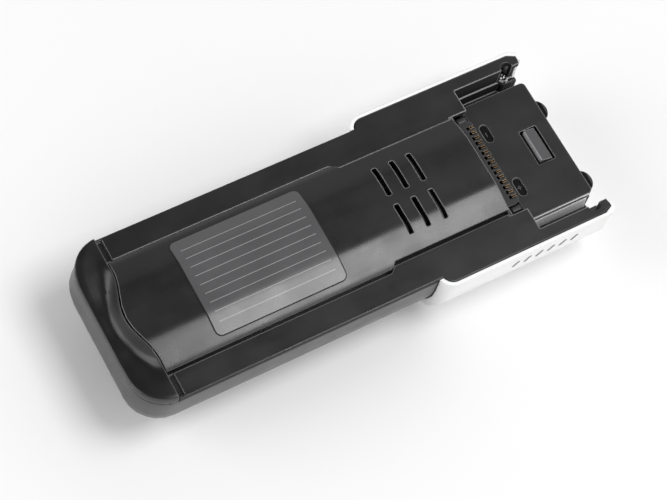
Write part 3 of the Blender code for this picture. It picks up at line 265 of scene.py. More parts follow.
@cache
def rounded_edges_group() -> NodeTree:
    """Make the group that rounds edges in shading and marks them.

    One rounded normal is gathered within the fillet's radius and goes to the shader. A second one
    is gathered within the band's radius. Where that one clearly leaves the surface's own normal,
    an edge lies.

    Returns:
        The group, with outputs Normal and Edge.
    """
    wire = EffectGroup("rounded_edges", {"Fillet": 0.0006, "Band": 0.0004}, ("Normal", "Edge"))
    fillet = wire.node("Bevel", samples=BEVEL_SAMPLES)
    band = wire.node("Bevel", samples=BEVEL_SAMPLES)
    wire.join(wire.source["Fillet"], fillet.inputs["Radius"])
    wire.join(wire.source["Band"], band.inputs["Radius"])
    meet = wire.node("VectorMath", operation="DOT_PRODUCT")
    wire.join(band.outputs["Normal"], meet.inputs[0])
    wire.join(wire.node("NewGeometry").outputs["Normal"], meet.inputs[1])
    wire.join(fillet.outputs["Normal"], wire.target["Normal"])
    wire.join(wire.spread(meet.outputs["Value"], (1.0, 0.0), EDGE_COSINES), wire.target["Edge"])
    return wire.tree


@cache
def moulded_grain_group() -> NodeTree:
    """Make the group for the fine grain that a moulding tool leaves, with soft mottling over it.

    Two noises on Object coordinates: one at the grain's own size, one coarser by a fixed ratio.

    Returns:
        The group, with outputs Height and Mottle.
    """
    wire = EffectGroup("moulded_grain", {"Scale": 3000.0}, ("Height", "Mottle"))
    place = wire.node("TexCoord").outputs["Object"]
    fine = wire.source["Scale"]
    coarse = wire.math("DIVIDE", fine, MOTTLE_RATIO)
    wire.join(wire.noise(place, fine, detail=2.0, roughness=0.6), wire.target["Height"])
    wire.join(wire.noise(place, coarse, detail=4.0, roughness=0.55), wire.target["Mottle"])
    return wire.tree


@cache
def handling_group() -> NodeTree:
    """Make the group for wiped dust and handling marks: long soft streaks with specks of dust.

    Returns:
        The group, with outputs Streak and Dust.
    """
    wire = EffectGroup("handling_marks", {"Reach": 60.0}, ("Streak", "Dust"))
    place = wire.node("TexCoord").outputs["Object"]
    turned = wire.node("Mapping", {"Rotation": (0.0, 0.0, STREAK_TURN), "Scale": STREAK_STRETCH})
    wire.join(place, turned.inputs["Vector"])
    streak = wire.noise(turned.outputs[0], wire.source["Reach"], detail=5.0, roughness=0.6)
    specks = wire.node("TexVoronoi", {"Scale": SPECK_SCALE, "Randomness": 1.0}, feature="F1")
    wire.join(place, specks.inputs["Vector"])
    dust = wire.spread(specks.outputs["Distance"], (1.0, 0.0), SPECK_SPAN)
    wire.join(wire.spread(streak, (0.0, 1.0), STREAK_SPAN), wire.target["Streak"])
    wire.join(dust, wire.target["Dust"])
    return wire.tree


@cache
def ruled_lines_group() -> NodeTree:
    """Make the group for evenly ruled lines that run along X inside a rectangle.

    A line lies where the distance from the nearest multiple of the pitch in Y is under half the
    line's width, and the rectangle keeps only what lies within its half sizes round its middle.

    Returns:
        The group, with output Line.
    """
    wire = EffectGroup("ruled_lines", {"Pitch": 0.004, "Width": 0.0003, "Middle": 0.0,
                                       "Half Length": 0.02, "Half Width": 0.02}, ("Line",))
    given, place = wire.source, wire.place()
    off = wire.math("PINGPONG", place["Y"], wire.math("MULTIPLY", given["Pitch"], 0.5))
    line = wire.math("LESS_THAN", off, wire.math("MULTIPLY", given["Width"], 0.5))
    along = wire.math("ABSOLUTE", wire.math("SUBTRACT", place["X"], given["Middle"]))
    across = wire.math("ABSOLUTE", place["Y"])
    inside = wire.math("MULTIPLY", wire.math("LESS_THAN", along, given["Half Length"]),
                       wire.math("LESS_THAN", across, given["Half Width"]))
    wire.join(wire.math("MULTIPLY", line, inside), wire.target["Line"])
    return wire.tree


@cache
def upright_walls_group() -> NodeTree:
    """Make the group that marks upright walls, which a tool leaves coarser than flat faces.

    The mask goes from 1 to 0 as the upward share of the true normal goes from a quarter to three
    quarters.

    Returns:
        The group, with output Wall.
    """
    wire = EffectGroup("upright_walls", {"Strength": 1.0}, ("Wall",))
    split = wire.node("SeparateXYZ")
    wire.join(wire.node("NewGeometry").outputs["True Normal"], split.inputs[0])
    wall = wire.spread(wire.math("ABSOLUTE", split.outputs["Z"]), (1.0, 0.0), WALL_SPAN)
    wire.join(wire.math("MULTIPLY", wall, wire.source["Strength"]), wire.target["Wall"])
    return wire.tree


@cache
def highlight_zone_group() -> NodeTree:
    """Make the group that marks what lies near the middle, where edges get a painted highlight.

    The mask goes from 1 to 0 as the distance from the middle in Y goes over the last millimetre
    before the half width.

    Returns:
        The group, with output Zone.
    """
    wire = EffectGroup("highlight_zone", {"Half Width": 1.0}, ("Zone",))
    across = wire.math("ABSOLUTE", wire.place()["Y"])
    left = wire.math("SUBTRACT", wire.source["Half Width"], across)
    # Mask of the zone in which edges get a painted highlight
    wire.join(wire.spread(left, (0.0, 1.0), (0.0, ZONE_FADE)), wire.target["Zone"])
    return wire.tree


@cache
def film_border_group() -> NodeTree:
    """Make the group that marks the rim of a rounded rectangle round a middle on X.

    Take the distance from the middle along X and Y, less the half sizes drawn in by the corner
    radius, kept at or above 0. The length of that pair, less the corner radius, is the distance
    past the outline. The rim is all that lies past it or less than the rim's width inside it.

    Returns:
        The group, with output Rim.
    """
    wire = EffectGroup("film_border", {"Middle": 0.0, "Half Length": 0.02, "Half Width": 0.02,
                                       "Corner": 0.003, "Rim": 0.0004}, ("Rim",))
    given, place, pair = wire.source, wire.place(), wire.node("CombineXYZ")
    along = wire.math("SUBTRACT", place["X"], given["Middle"])
    for axis, (value, half) in enumerate(((along, "Half Length"), (place["Y"], "Half Width"))):
        inner = wire.math("SUBTRACT", given[half], given["Corner"])
        past = wire.math("SUBTRACT", wire.math("ABSOLUTE", value), inner)
        wire.join(wire.math("MAXIMUM", past, 0.0), pair.inputs[axis])
    reach = wire.node("VectorMath", operation="LENGTH")
    wire.join(pair.outputs[0], reach.inputs[0])
    limit = wire.math("SUBTRACT", given["Corner"], given["Rim"])
    wire.join(wire.math("GREATER_THAN", reach.outputs["Value"], limit), wire.target["Rim"])
    return wire.tree


# Finishes

@dataclass(frozen=True)
class Finish:
    """Common part of every finish: a named material with one Principled shader."""

    name: str
    colour: Colour
    roughness: float

    def material(self) -> Material:
        """Build the material, which each kind of finish does in its own way."""
        raise NotImplementedError

    def start(self) -> tuple[Material, Wiring, Node]:
        """Start the material.

        Returns:
            The material, a Wiring for its tree and its Principled node.
        """
        material = bpy.data.materials.new(self.name)
        material.use_nodes = True
        shader = material.node_tree.nodes["Principled BSDF"]
        shader.inputs["Base Color"].default_value = (*self.colour, 1.0)
        shader.inputs["Roughness"].default_value = self.roughness
        material.diffuse_color = (*self.colour, 1.0)
        return material, Wiring(material.node_tree), shader

    def effect(self, wire: Wiring, make: GroupMaker, values: dict[str, float]) -> NodeOutputs:
        """Place a shared effect with its own values, and give its outputs."""
        return wire.node("Group", values, node_tree=make()).outputs

    def relief(self, wire: Wiring, shader: Node, height: NodeSocket, depth: float,
               normal: NodeSocket | None = None) -> None:
        """Put a fine relief into the shader's normal.

        Args:
            wire: the material's wiring.
            shader: the Principled node.
            height: the height of the relief.
            depth: its strength.
            normal: the normal that it starts from, in place of the surface's own.
        """
        bump = wire.node("Bump", {"Strength": depth, "Distance": BUMP_DISTANCE})
        wire.join(height, bump.inputs["Height"])
        if normal is not None:
            wire.join(normal, bump.inputs["Normal"])
        wire.join(bump.outputs[0], shader.inputs["Normal"])


@dataclass(frozen=True)
class MouldedPlastic(Finish):
    """Moulded plastic with tool grain, rounded edges that also carry a painted highlight, and
    handling marks.
    """

    grain: Grain = Grain.SATIN
    grain_depth: float = 0.25
    specular: float = 0.5
    fillet: float = 0.0006
    edge_band: float = 0.0004
    # Pale grey of the painted edge highlights and of the dust specks, then the painted highlight's
    # share
    highlight_and_dust_grey: float = 0.36
    highlight_share: float = 0.9
    highlight_half: float = 1.0
    wall: float = 0.0
    dust: float = 0.02
    marks: float = 1.0
    mottle: float = 0.05
    streaks: Span = (-0.03, 0.04)

    @cache
    def material(self) -> Material:
        """Build the material.

        The grain goes into the normal. A painted highlight goes onto the edges, in the same pale
        grey as the specks of dust. Mottle, streaks and upright walls change the roughness.

        Returns:
            The material.
        """
        made, wire, shader = self.start()
        shader.inputs["Specular IOR Level"].default_value = self.specular
        radii = {"Fillet": self.fillet, "Band": self.edge_band}
        edges = self.effect(wire, rounded_edges_group, radii)
        grain = self.effect(wire, moulded_grain_group, {"Scale": self.grain.value})
        marks = self.effect(wire, handling_group, {})
        zone = self.effect(wire, highlight_zone_group, {"Half Width": self.highlight_half})
        walls = self.effect(wire, upright_walls_group, {"Strength": self.wall})
        self.relief(wire, shader, grain["Height"], self.grain_depth, edges["Normal"])
        # Painted highlight: edges in the zone are tinted pale grey for the light that rounded edges
        # catch; dust specks share that grey
        highlit_edges = wire.math("MULTIPLY", edges["Edge"], zone["Zone"])
        share = wire.math("MULTIPLY", highlit_edges, self.highlight_share)
        speck = wire.math("MULTIPLY", marks["Dust"], self.dust)
        highlight_and_dust = wire.math("ADD", share, speck, clamp=True)
        highlight_and_dust_colour = (self.highlight_and_dust_grey,) * 3
        wire.join(wire.tint(highlight_and_dust, self.colour, highlight_and_dust_colour), shader.inputs["Base Color"])
        swing = self.mottle * self.marks
        mottle = wire.spread(grain["Mottle"], (-swing, swing), NOISE_SPAN)
        streak = wire.spread(marks["Streak"], tuple(value * self.marks for value in self.streaks))
        coarse = wire.math("ADD", walls["Wall"], self.roughness)
        rough = wire.math("ADD", wire.math("ADD", mottle, streak), coarse, clamp=True)
        wire.join(rough, shader.inputs["Roughness"])
        return made


@dataclass(frozen=True)
class PrintedFilm(Finish):
    """A printed sticker: a plain grey film with ruled lines and painted shade along its rim."""

    ink: Colour = (0.26, 0.26, 0.26)
    specular: float = 0.5
    peel_scale: float = 2400.0
    peel_depth: float = 0.08
    mottle: float = 0.05
    mottle_shade: float = 0.93
    pitch: float = 0.0042
    line: float = 0.0003
    middle: float = -0.0424
    half_length: float = 0.0262
    half_width: float = 0.0190
    half_film: Span = (0.02975, 0.0224)
    corner: float = 0.0030
    rim: float = 0.00045
    rim_shade_colour: Colour = (0.012, 0.012, 0.012)
    rim_roughness: float = 0.6

    @cache
    def material(self) -> Material:
        """Build the material: a satin film with a faint orange-peel surface, lines and painted
        shade on the rim.

        Returns:
            The material.
        """
        made, wire, shader = self.start()
        shader.inputs["Specular IOR Level"].default_value = self.specular
        grain = self.effect(wire, moulded_grain_group, {"Scale": self.peel_scale})
        lines = self.effect(wire, ruled_lines_group, {
            "Pitch": self.pitch, "Width": self.line, "Middle": self.middle,
            "Half Length": self.half_length, "Half Width": self.half_width})
        border = self.effect(wire, film_border_group, {
            "Middle": self.middle, "Half Length": self.half_film[0],
            "Half Width": self.half_film[1], "Corner": self.corner, "Rim": self.rim})
        self.relief(wire, shader, grain["Height"], self.peel_depth)
        shaded = tuple(self.mottle_shade * value for value in self.colour)
        film = wire.tint(wire.spread(grain["Mottle"], (0.0, 1.0), NOISE_SPAN), shaded, self.colour)
        printed = wire.tint(lines["Line"], film, self.ink)
        # Painted shade: the rim is darkened for the shade in the gap round the sticker's edge
        wire.join(wire.tint(border["Rim"], printed, self.rim_shade_colour), shader.inputs["Base Color"])
        span = (self.roughness - self.mottle, self.roughness + self.mottle)
        sheen = wire.spread(grain["Mottle"], span, NOISE_SPAN)
        dull = wire.math("MULTIPLY", border["Rim"], self.rim_roughness)
        wire.join(wire.math("ADD", sheen, dull, clamp=True), shader.inputs["Roughness"])
        return made


@dataclass(frozen=True)
class BareMetal(Finish):
    """Sheet or turned metal with a fine brushed grain and a little tarnish."""

    tarnish: Colour = (0.2, 0.15, 0.1)
    tarnish_share: float = 0.35
    tarnish_span: Span = (0.45, 0.75)
    brush: float = 2600.0
    brush_depth: float = 0.12
    brush_span: Span = (-0.06, 0.10)
    fillet: float = 0.00015

    @cache
    def material(self) -> Material:
        """Build the material: tarnish in the colour, brushing in the roughness and the normal.

        Returns:
            The material.
        """
        made, wire, shader = self.start()
        shader.inputs["Metallic"].default_value = 1.0
        grain = self.effect(wire, moulded_grain_group, {"Scale": self.brush})
        edges = self.effect(wire, rounded_edges_group, {"Fillet": self.fillet})
        self.relief(wire, shader, grain["Height"], self.brush_depth, edges["Normal"])
        stain = wire.spread(grain["Mottle"], (0.0, self.tarnish_share), self.tarnish_span)
        wire.join(wire.tint(stain, self.colour, self.tarnish), shader.inputs["Base Color"])
        span = tuple(self.roughness + value for value in self.brush_span)
        wire.join(wire.spread(grain["Mottle"], span, NOISE_SPAN), shader.inputs["Roughness"])
        return made


COVER_BLACK = MouldedPlastic("cover_black", (0.0085, 0.0085, 0.0090), 0.30, grain_depth=0.20,
                             edge_band=0.0008, highlight_and_dust_grey=0.27)
CAP_BLACK = MouldedPlastic("cap_black", (0.0085, 0.0085, 0.0090), 0.32, grain_depth=0.20,
                           fillet=0.0010, edge_band=0.0006, highlight_and_dust_grey=0.16)
# Painted edge highlights on the frame stay within the highlight half width of the middle
FRAME_BLACK = MouldedPlastic("frame_black", (0.0095, 0.0095, 0.0100), 0.32, grain_depth=0.24,
                             fillet=0.0009, edge_band=0.0010, highlight_and_dust_grey=0.34,
                             highlight_half=0.0370, wall=0.45)
PLATFORM_BLACK = MouldedPlastic("platform_black", (0.0090, 0.0090, 0.0095), 0.34, grain_depth=0.24,
                                edge_band=0.0009, highlight_and_dust_grey=0.24, highlight_share=0.8)
TRAY_BLACK = MouldedPlastic("tray_black", (0.030, 0.030, 0.031), 0.34, Grain.FINE, 0.12,
                            specular=0.75, highlight_share=0.0)
CARRIER_BLACK = MouldedPlastic("carrier_black", (0.0140, 0.0140, 0.0145), 0.42, Grain.FINE, 0.10,
                               fillet=0.0002, edge_band=0.0002, highlight_share=0.6)
# Painted shade: near black, dull plates that stand in for the shade in the recesses and the lugs'
# pockets
RECESS_PAINTED_SHADE = MouldedPlastic("recess_painted_shade", (0.0050, 0.0050, 0.0054), 0.30, Grain.FINE, 0.10,
                              specular=0.15, highlight_share=0.0)
WHITE_GLOSS = MouldedPlastic("white_gloss", (0.84, 0.84, 0.84), 0.30, Grain.POLISHED, 0.04,
                             highlight_and_dust_grey=0.88, dust=0.0, marks=0.1)
LATCH_GREY = MouldedPlastic("latch_grey", (0.055, 0.055, 0.058), 0.45, edge_band=0.0006)
# Painted light: pale grey for the pad that paints light onto the catch's face, which lies in shade
CATCH_PAINTED_LIGHT = MouldedPlastic("catch_painted_light", (0.50, 0.50, 0.51), 0.45, highlight_share=0.0)
# Painted light: pale grey for the pieces that paint a highlight on the platform's edges and a
# reflection on the rail walls
STRIP_PAINTED_LIGHT = MouldedPlastic("strip_painted_light", (0.88, 0.88, 0.88), 0.40, highlight_share=0.0)
# Painted shade: mid grey for the plates that stand in for the shade inside the shell's slots
SLOT_PAINTED_SHADE = MouldedPlastic("slot_painted_shade", (0.26, 0.26, 0.26), 0.60, Grain.FINE, 0.10, highlight_share=0.0)
MARK_GREY = MouldedPlastic("mark_grey", (0.08, 0.08, 0.09), 0.45, Grain.FINE, 0.10,
                           fillet=0.0001, highlight_share=0.0)
HOLDER_BLACK = MouldedPlastic("holder_black", (0.012, 0.012, 0.012), 0.55, highlight_share=0.1)
CELL_SLEEVE = MouldedPlastic("cell_sleeve", (0.008, 0.009, 0.011), 0.50, Grain.POLISHED, 0.05,
                             highlight_share=0.1)
BOARD_MASK = MouldedPlastic("board_mask", (0.006, 0.009, 0.007), 0.55, Grain.FINE, 0.05,
                            highlight_share=0.1)
LABEL_FILM = PrintedFilm("label_film", (0.080, 0.080, 0.083), 0.29)
BRASS = BareMetal("contact_brass", (0.20, 0.145, 0.095), 0.34, (0.06, 0.040, 0.026), 0.9)
SCREW_BLACK = BareMetal("screw_black", (0.42, 0.42, 0.43), 0.22, (0.20, 0.20, 0.20))
STEEL = BareMetal("bright_steel", (0.62, 0.62, 0.62), 0.26, (0.35, 0.34, 0.33))
NICKEL = BareMetal("nickel_strip", (0.40, 0.39, 0.36), 0.40, (0.20, 0.19, 0.17))


# Meshes and objects

def boxes(pair: tuple) -> list[list[float]]:
    """Give a pair of corners as plain lists of numbers."""
    return [[float(value) for value in corner] for corner in pair]


def new_object(name: str, data: ID) -> Object:
    """Put an object in the scene.

    Args:
        name: its name.
        data: its mesh, lamp or camera.

    Returns:
        The object.
    """
    item = bpy.data.objects.new(name, data)
    bpy.context.scene.collection.objects.link(item)
    return item


def axes_pose(right: np.ndarray, up: np.ndarray, back: np.ndarray, place: Point) -> Matrix:
    """Give the pose of an object from where its own axes point.

    Args:
        right: direction of its X axis.
        up: direction of its Y axis.
        back: direction of its Z axis.
        place: where its origin lies.

    Returns:
        The pose as a matrix.
    """
    pose = np.eye(4)
    pose[:3] = np.stack([right, up, back, np.array(place)], axis=1)
    return Matrix(pose.tolist())


def grid_mesh(name: str, points: np.ndarray, close_v: bool = False, solid: bool = True) -> Mesh:
    """Make a mesh from one grid of points or a stack of them, joining neighbours both ways.

    Args:
        name: the mesh's name.
        points: array of shape (rows, columns, 3) or (grids, rows, columns, 3).
        close_v: join the last column to the first.
        solid: merge points that meet, close what is open and turn the faces outwards.

    Returns:
        The mesh, shaded smoothly up to a bend of MESH_SMOOTH.
    """
    points = points if points.ndim == 4 else points[None]
    index = np.arange(points[..., 0].size).reshape(points.shape[:3])
    index = np.concatenate([index, index[..., :1]], axis=2) if close_v else index
    quads = np.stack([index[:, :-1, :-1], index[:, 1:, :-1], index[:, 1:, 1:], index[:, :-1, 1:]],
                     axis=-1)
    mesh = bpy.data.meshes.new(name)
    mesh.from_pydata(points.reshape(-1, 3).tolist(), [], quads.reshape(-1, 4).tolist())
    if solid:
        work = bmesh.new()
        work.from_mesh(mesh)
        bmesh.ops.remove_doubles(work, verts=work.verts[:], dist=MESH_MERGE)
        open_edges = [edge for edge in work.edges if edge.is_boundary]
        bmesh.ops.holes_fill(work, edges=open_edges, sides=0)
        bmesh.ops.recalc_face_normals(work, faces=work.faces[:])
        if work.calc_volume(signed=True) < 0.0:
            bmesh.ops.reverse_faces(work, faces=work.faces[:])
        work.to_mesh(mesh)
        work.free()
    mesh.shade_smooth()
    mesh.set_sharp_from_angle(angle=MESH_SMOOTH)
    return mesh


def stadium_plate(length: float, width: float, thick: float, around: int = 28) -> np.ndarray:
    """Give a thin closed stadium plate that lies flat.

    The second parameter runs round the outline. The first runs from the middle of the top out to
    the edge, down the edge and back to the middle of the underside.

    Args:
        length: its whole length.
        width: its width, which is also twice its end radius.
        thick: its thickness.
        around: points round the outline.

    Returns:
        Places across it, along it and above its underside, of shape (3, rows, around).
    """
    angle = (np.arange(around) + 0.5) * 2 * np.pi / around
    rings = np.array([0.0, 0.6, 1.0])
    share = np.concatenate([rings, rings[::-1]])[:, None]
    level = thick * np.repeat([1.0, 0.0], len(rings))[:, None] * np.ones(around)
    along = width / 2 * np.sin(angle) + (length - width) / 2 * np.sign(np.sin(angle))
    return np.stack([share * width / 2 * np.cos(angle), share * along, level])


def rounded_pad(xs: Span, ys: Span, zs: Span, turn: float, steps: int = 5) -> np.ndarray:
    """Give a block with upright walls and a rounded top edge.

    Both parameters run over the block's plan. The height is the block's own, less a quarter-circle
    drop near each edge along either parameter, and the outermost rows and columns go down to the
    base.

    Args:
        xs: both ends along X.
        ys: both ends along Y.
        zs: base and top.
        turn: radius of the rounded edge.
        steps: facets of the rounded edge.

    Returns:
        Points of shape (rows, columns, 3).
    """
    angle = np.linspace(np.pi / 2, 0.0, steps + 1)
    inset = np.concatenate([[0.0], turn * (1 - np.sin(angle))])
    drop = np.concatenate([[zs[1] - zs[0]], turn * (1 - np.cos(angle))])
    drops = np.concatenate([drop, drop[::-1]])
    runs = []
    for first, last in (xs, ys):
        sign = math.copysign(1.0, last - first)
        runs.append(np.concatenate([first + sign * inset, (last - sign * inset)[::-1]]))
    height = np.maximum(zs[0], zs[1] - drops[:, None] - drops[None, :])
    return np.stack([*np.meshgrid(*runs, indexing="ij"), height], axis=-1)


@cache
def smooth_shading_group(angle: float) -> NodeTree:
    """Make a geometry node group that merges a solid's loose triangles and shades it smoothly.

    An edge stays sharp where its two faces meet at more than the given angle.

    Args:
        angle: the sharpest angle that is still smooth, in radians.

    Returns:
        The geometry node group.
    """
    name = f"smooth_shading_{round(math.degrees(angle))}"
    tree = bpy.data.node_groups.new(name, "GeometryNodeTree")
    for way in ("INPUT", "OUTPUT"):
        tree.interface.new_socket("Geometry", in_out=way, socket_type="NodeSocketGeometry")
    nodes, links = tree.nodes, tree.links
    source, target = nodes.new("NodeGroupInput"), nodes.new("NodeGroupOutput")
    merge = nodes.new("GeometryNodeMergeByDistance")
    merge.inputs["Distance"].default_value = SOLID_MERGE
    bend = nodes.new("GeometryNodeInputMeshEdgeAngle")
    below = nodes.new("FunctionNodeCompare")
    below.data_type, below.operation = "FLOAT", "LESS_THAN"
    below.inputs["B"].default_value = angle
    faces, edges = (nodes.new("GeometryNodeSetShadeSmooth") for _ in range(2))
    faces.domain, edges.domain = "FACE", "EDGE"
    links.new(source.outputs[0], merge.inputs["Geometry"])
    links.new(merge.outputs[0], faces.inputs["Geometry"])
    links.new(faces.outputs[0], edges.inputs["Geometry"])
    links.new(bend.outputs["Unsigned Angle"], below.inputs["A"])
    links.new(below.outputs[0], edges.inputs["Shade Smooth"])
    links.new(edges.outputs[0], target.inputs[0])
    return tree


def dress(names: list[str], finish: Finish, smooth_degrees: float = 32.0) -> None:
    """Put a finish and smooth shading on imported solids.

    Args:
        names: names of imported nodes.
        finish: the finish that they get.
        smooth_degrees: the sharpest angle between two faces that is still shaded smoothly.
    """
    for name in names:
        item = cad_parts[name]
        item.data.materials.clear()
        item.data.materials.append(finish.material())
        shade = item.modifiers.new("smooth_shading", "NODES")
        shade.node_group = smooth_shading_group(math.radians(smooth_degrees))
        LOG.info("dressed %s in %s", name, finish.name)


def add_piece(name: str, points: np.ndarray, finish: Finish,
              body: Body = Body.HOUSING, close_v: bool = True) -> Object:
    """Put a new piece in the scene and let it ride on its body.

    Args:
        name: the piece's name.
        points: its grid or grids of points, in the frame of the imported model.
        finish: the finish that it gets.
        body: the body that carries it.
        close_v: join the last column of each grid to the first.

    Returns:
        The new object.
    """
    mesh = grid_mesh(name, points, close_v)
    mesh.materials.append(finish.material())
    item = new_object(name, mesh)
    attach(item, body.value)
    LOG.info("added %s with %d faces", name, len(mesh.polygons))
    return item


# Sub-assemblies

@dataclass
class Housing:
    """The shells: tray, frame, cover, cap, platform and the white side shell."""

    shell_smooth: float = 20.0

    def build(self) -> None:
        """Dress the shells."""
        dress(["cell_cover"], COVER_BLACK)
        dress(["end_cap"], CAP_BLACK)
        dress(["front_frame"], FRAME_BLACK)
        dress(["connector_cover"], PLATFORM_BLACK)
        dress(["back_tray"], TRAY_BLACK)
        dress(["side_shell"], WHITE_GLOSS, smooth_degrees=self.shell_smooth)
        dress(["label"], LABEL_FILM)


@dataclass
class PaintedLightStrips:
    """Painted light: a pale bead along each side of the platform paints the highlight on its edge,
    and a pale strip on each rail paints the reflection on the rail's wall.
    """

    end_gap: float = 0.0022
    bead_top: float = 0.0002
    bead_bottom: float = 0.0017
    strip_top: float = 0.0042
    strip_bottom: float = 0.0116
    strip_lean: float = 0.0008
    proud: float = 0.00025
    steps: int = 6
    rows: int = 25

    def build(self) -> None:
        """Build the beads and the strips on both sides, each a section swept along X."""
        low, high = boxes(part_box("connector_cover"))
        xs = np.linspace(low[0] + self.proud, high[0] - self.end_gap, self.rows)[:, None]
        levels = {"bead": (self.bead_top, self.bead_bottom, 0.0),
                  "strip": (self.strip_top, self.strip_bottom, self.strip_lean)}
        for name, (upper, lower, lean) in levels.items():
            profile = self.section(high[1], high[2] - upper, high[2] - lower)
            profile[:, 0] += lean * (profile[0, 1] - profile[:, 1]) / (lower - upper)
            for side, word in SIDES:
                swept = np.broadcast_arrays(xs, side * profile[:, 0], profile[:, 1])
                points = np.stack(swept, axis=-1)
                # Painted highlight for the bead, painted reflection for the strip
                add_piece(f"painted_light_{name}_{word}", points, STRIP_PAINTED_LIGHT)

    def section(self, half: float, upper: float, lower: float) -> np.ndarray:
        """Give a strip's section: a flat face with rounded long edges that start inside the wall.

        Args:
            half: distance of the wall from the middle of the pack.
            upper: height of the upper edge.
            lower: height of the lower edge.

        Returns:
            (y, z) points from the upper edge to the lower edge.
        """
        radius = 2 * self.proud
        turn = np.linspace(0.0, np.pi / 2, self.steps + 1)
        outs = half - self.proud + radius * np.sin(turn)
        round_off = radius * (1 - np.cos(turn))
        first = np.stack([outs, upper - round_off], axis=1)
        last = np.stack([outs, lower + round_off], axis=1)[::-1]
        return np.concatenate([first, last])


@dataclass
class SlotShadePlates:
    """Grey plates of painted shade, almost flush, that close the leaning slots in both sides of the
    white shell.
    """

    count: int = 6
    pitch: float = 0.0058
    from_tip: float = 0.0344
    below_top: float = 0.0078
    lean: float = math.radians(35)
    length: float = 0.0047
    width: float = 0.0019
    thick: float = 0.0004
    proud: float = 0.00006

    def build(self) -> None:
        """Build one piece for each side, with all its slots."""
        high = boxes(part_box("side_shell"))[1]
        first = high[0] - self.from_tip - (self.count - 1) / 2 * self.pitch
        for side, word in SIDES:
            points = self.plates(first, side * (high[1] + self.proud), high[2] - self.below_top)
            # Painted shade in the slots
            add_piece(f"slot_plates_{word}", points, SLOT_PAINTED_SHADE)

    def plates(self, first: float, face: float, middle: float) -> np.ndarray:
        """Give the grids of the slot plates.

        Each plate is a flat stadium that leans by the slot's angle.

        Args:
            first: x of the first slot.
            face: y of the plates' outer faces.
            middle: z of their middles.

        Returns:
            Points of shape (count, rows, columns, 3).
        """
        across, along, level = stadium_plate(self.length, self.width, self.thick)
        xs = (first + self.pitch * np.arange(self.count))[:, None, None]
        cosine, sine = math.cos(self.lean), math.sin(self.lean)
        x = xs + across * cosine + along * sine
        y = face - math.copysign(1.0, face) * (self.thick - level)
        z = middle + along * cosine - across * sine
        return np.stack(np.broadcast_arrays(x, y, z), axis=-1)


@dataclass
class PolarityMarks:
    """Small raised plus and minus in the two oblong recesses of the platform, with painted shade on
    their floors.
    """

    from_start: float = 0.0041
    offset: float = 0.0139
    floor_drop: float = 0.0009
    floor_size: Span = (0.0086, 0.0035)
    floor_thick: float = 0.00005
    length: float = 0.0022
    width: float = 0.00048
    rise: float = 0.0002
    arch: float = 1.6
    end_share: float = 0.2
    steps: int = 8

    def build(self) -> None:
        """Build the painted shade on the floors, the minus on the far side and the plus on the near
        side.
        """
        low, high = boxes(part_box("connector_cover"))
        middle, floor = low[0] + self.from_start, high[2] - self.floor_drop
        across, along, level = stadium_plate(*self.floor_size, self.floor_thick)
        for side, word in SIDES:
            points = np.stack([middle + across, side * self.offset + along, floor + level], axis=-1)
            # Painted shade on the recess floor
            add_piece(f"recess_shade_{word}", points, RECESS_PAINTED_SHADE)
        bars = {"minus_mark": [self.bar(middle, self.offset, floor, False)],
                "plus_mark": [self.bar(middle, -self.offset, floor, False),
                              self.bar(middle, -self.offset, floor, True)]}
        for name, grids in bars.items():
            add_piece(name, np.stack(grids), MARK_GREY)

    def bar(self, x: float, y: float, floor: float, along_x: bool) -> np.ndarray:
        """Give one bar: a low arch with a flat top, swept along its length, drawn in at both ends.

        Args:
            x: middle of the bar along the pack.
            y: middle of the bar across the pack.
            floor: height that it stands on.
            along_x: lay the bar along the pack, not across it.

        Returns:
            Points of shape (2 steps + 1, steps + 1, 3).
        """
        turn = np.linspace(0.0, np.pi, self.steps + 1)
        place = np.sin(np.linspace(-np.pi / 2, np.pi / 2, 2 * self.steps + 1))
        taper = np.clip((1 - np.abs(place)) / self.end_share, 0.0, 1.0)[:, None] ** 0.5
        side = self.width / 2 * np.cos(turn)[None, :] * taper
        run = np.broadcast_to(self.length / 2 * place[:, None], side.shape)
        up = floor + self.rise * np.minimum(self.arch * np.sin(turn), 1.0)[None, :] * taper
        first, second = (run, side) if along_x else (side, run)
        return np.stack([x + first, y + second, up], axis=-1)


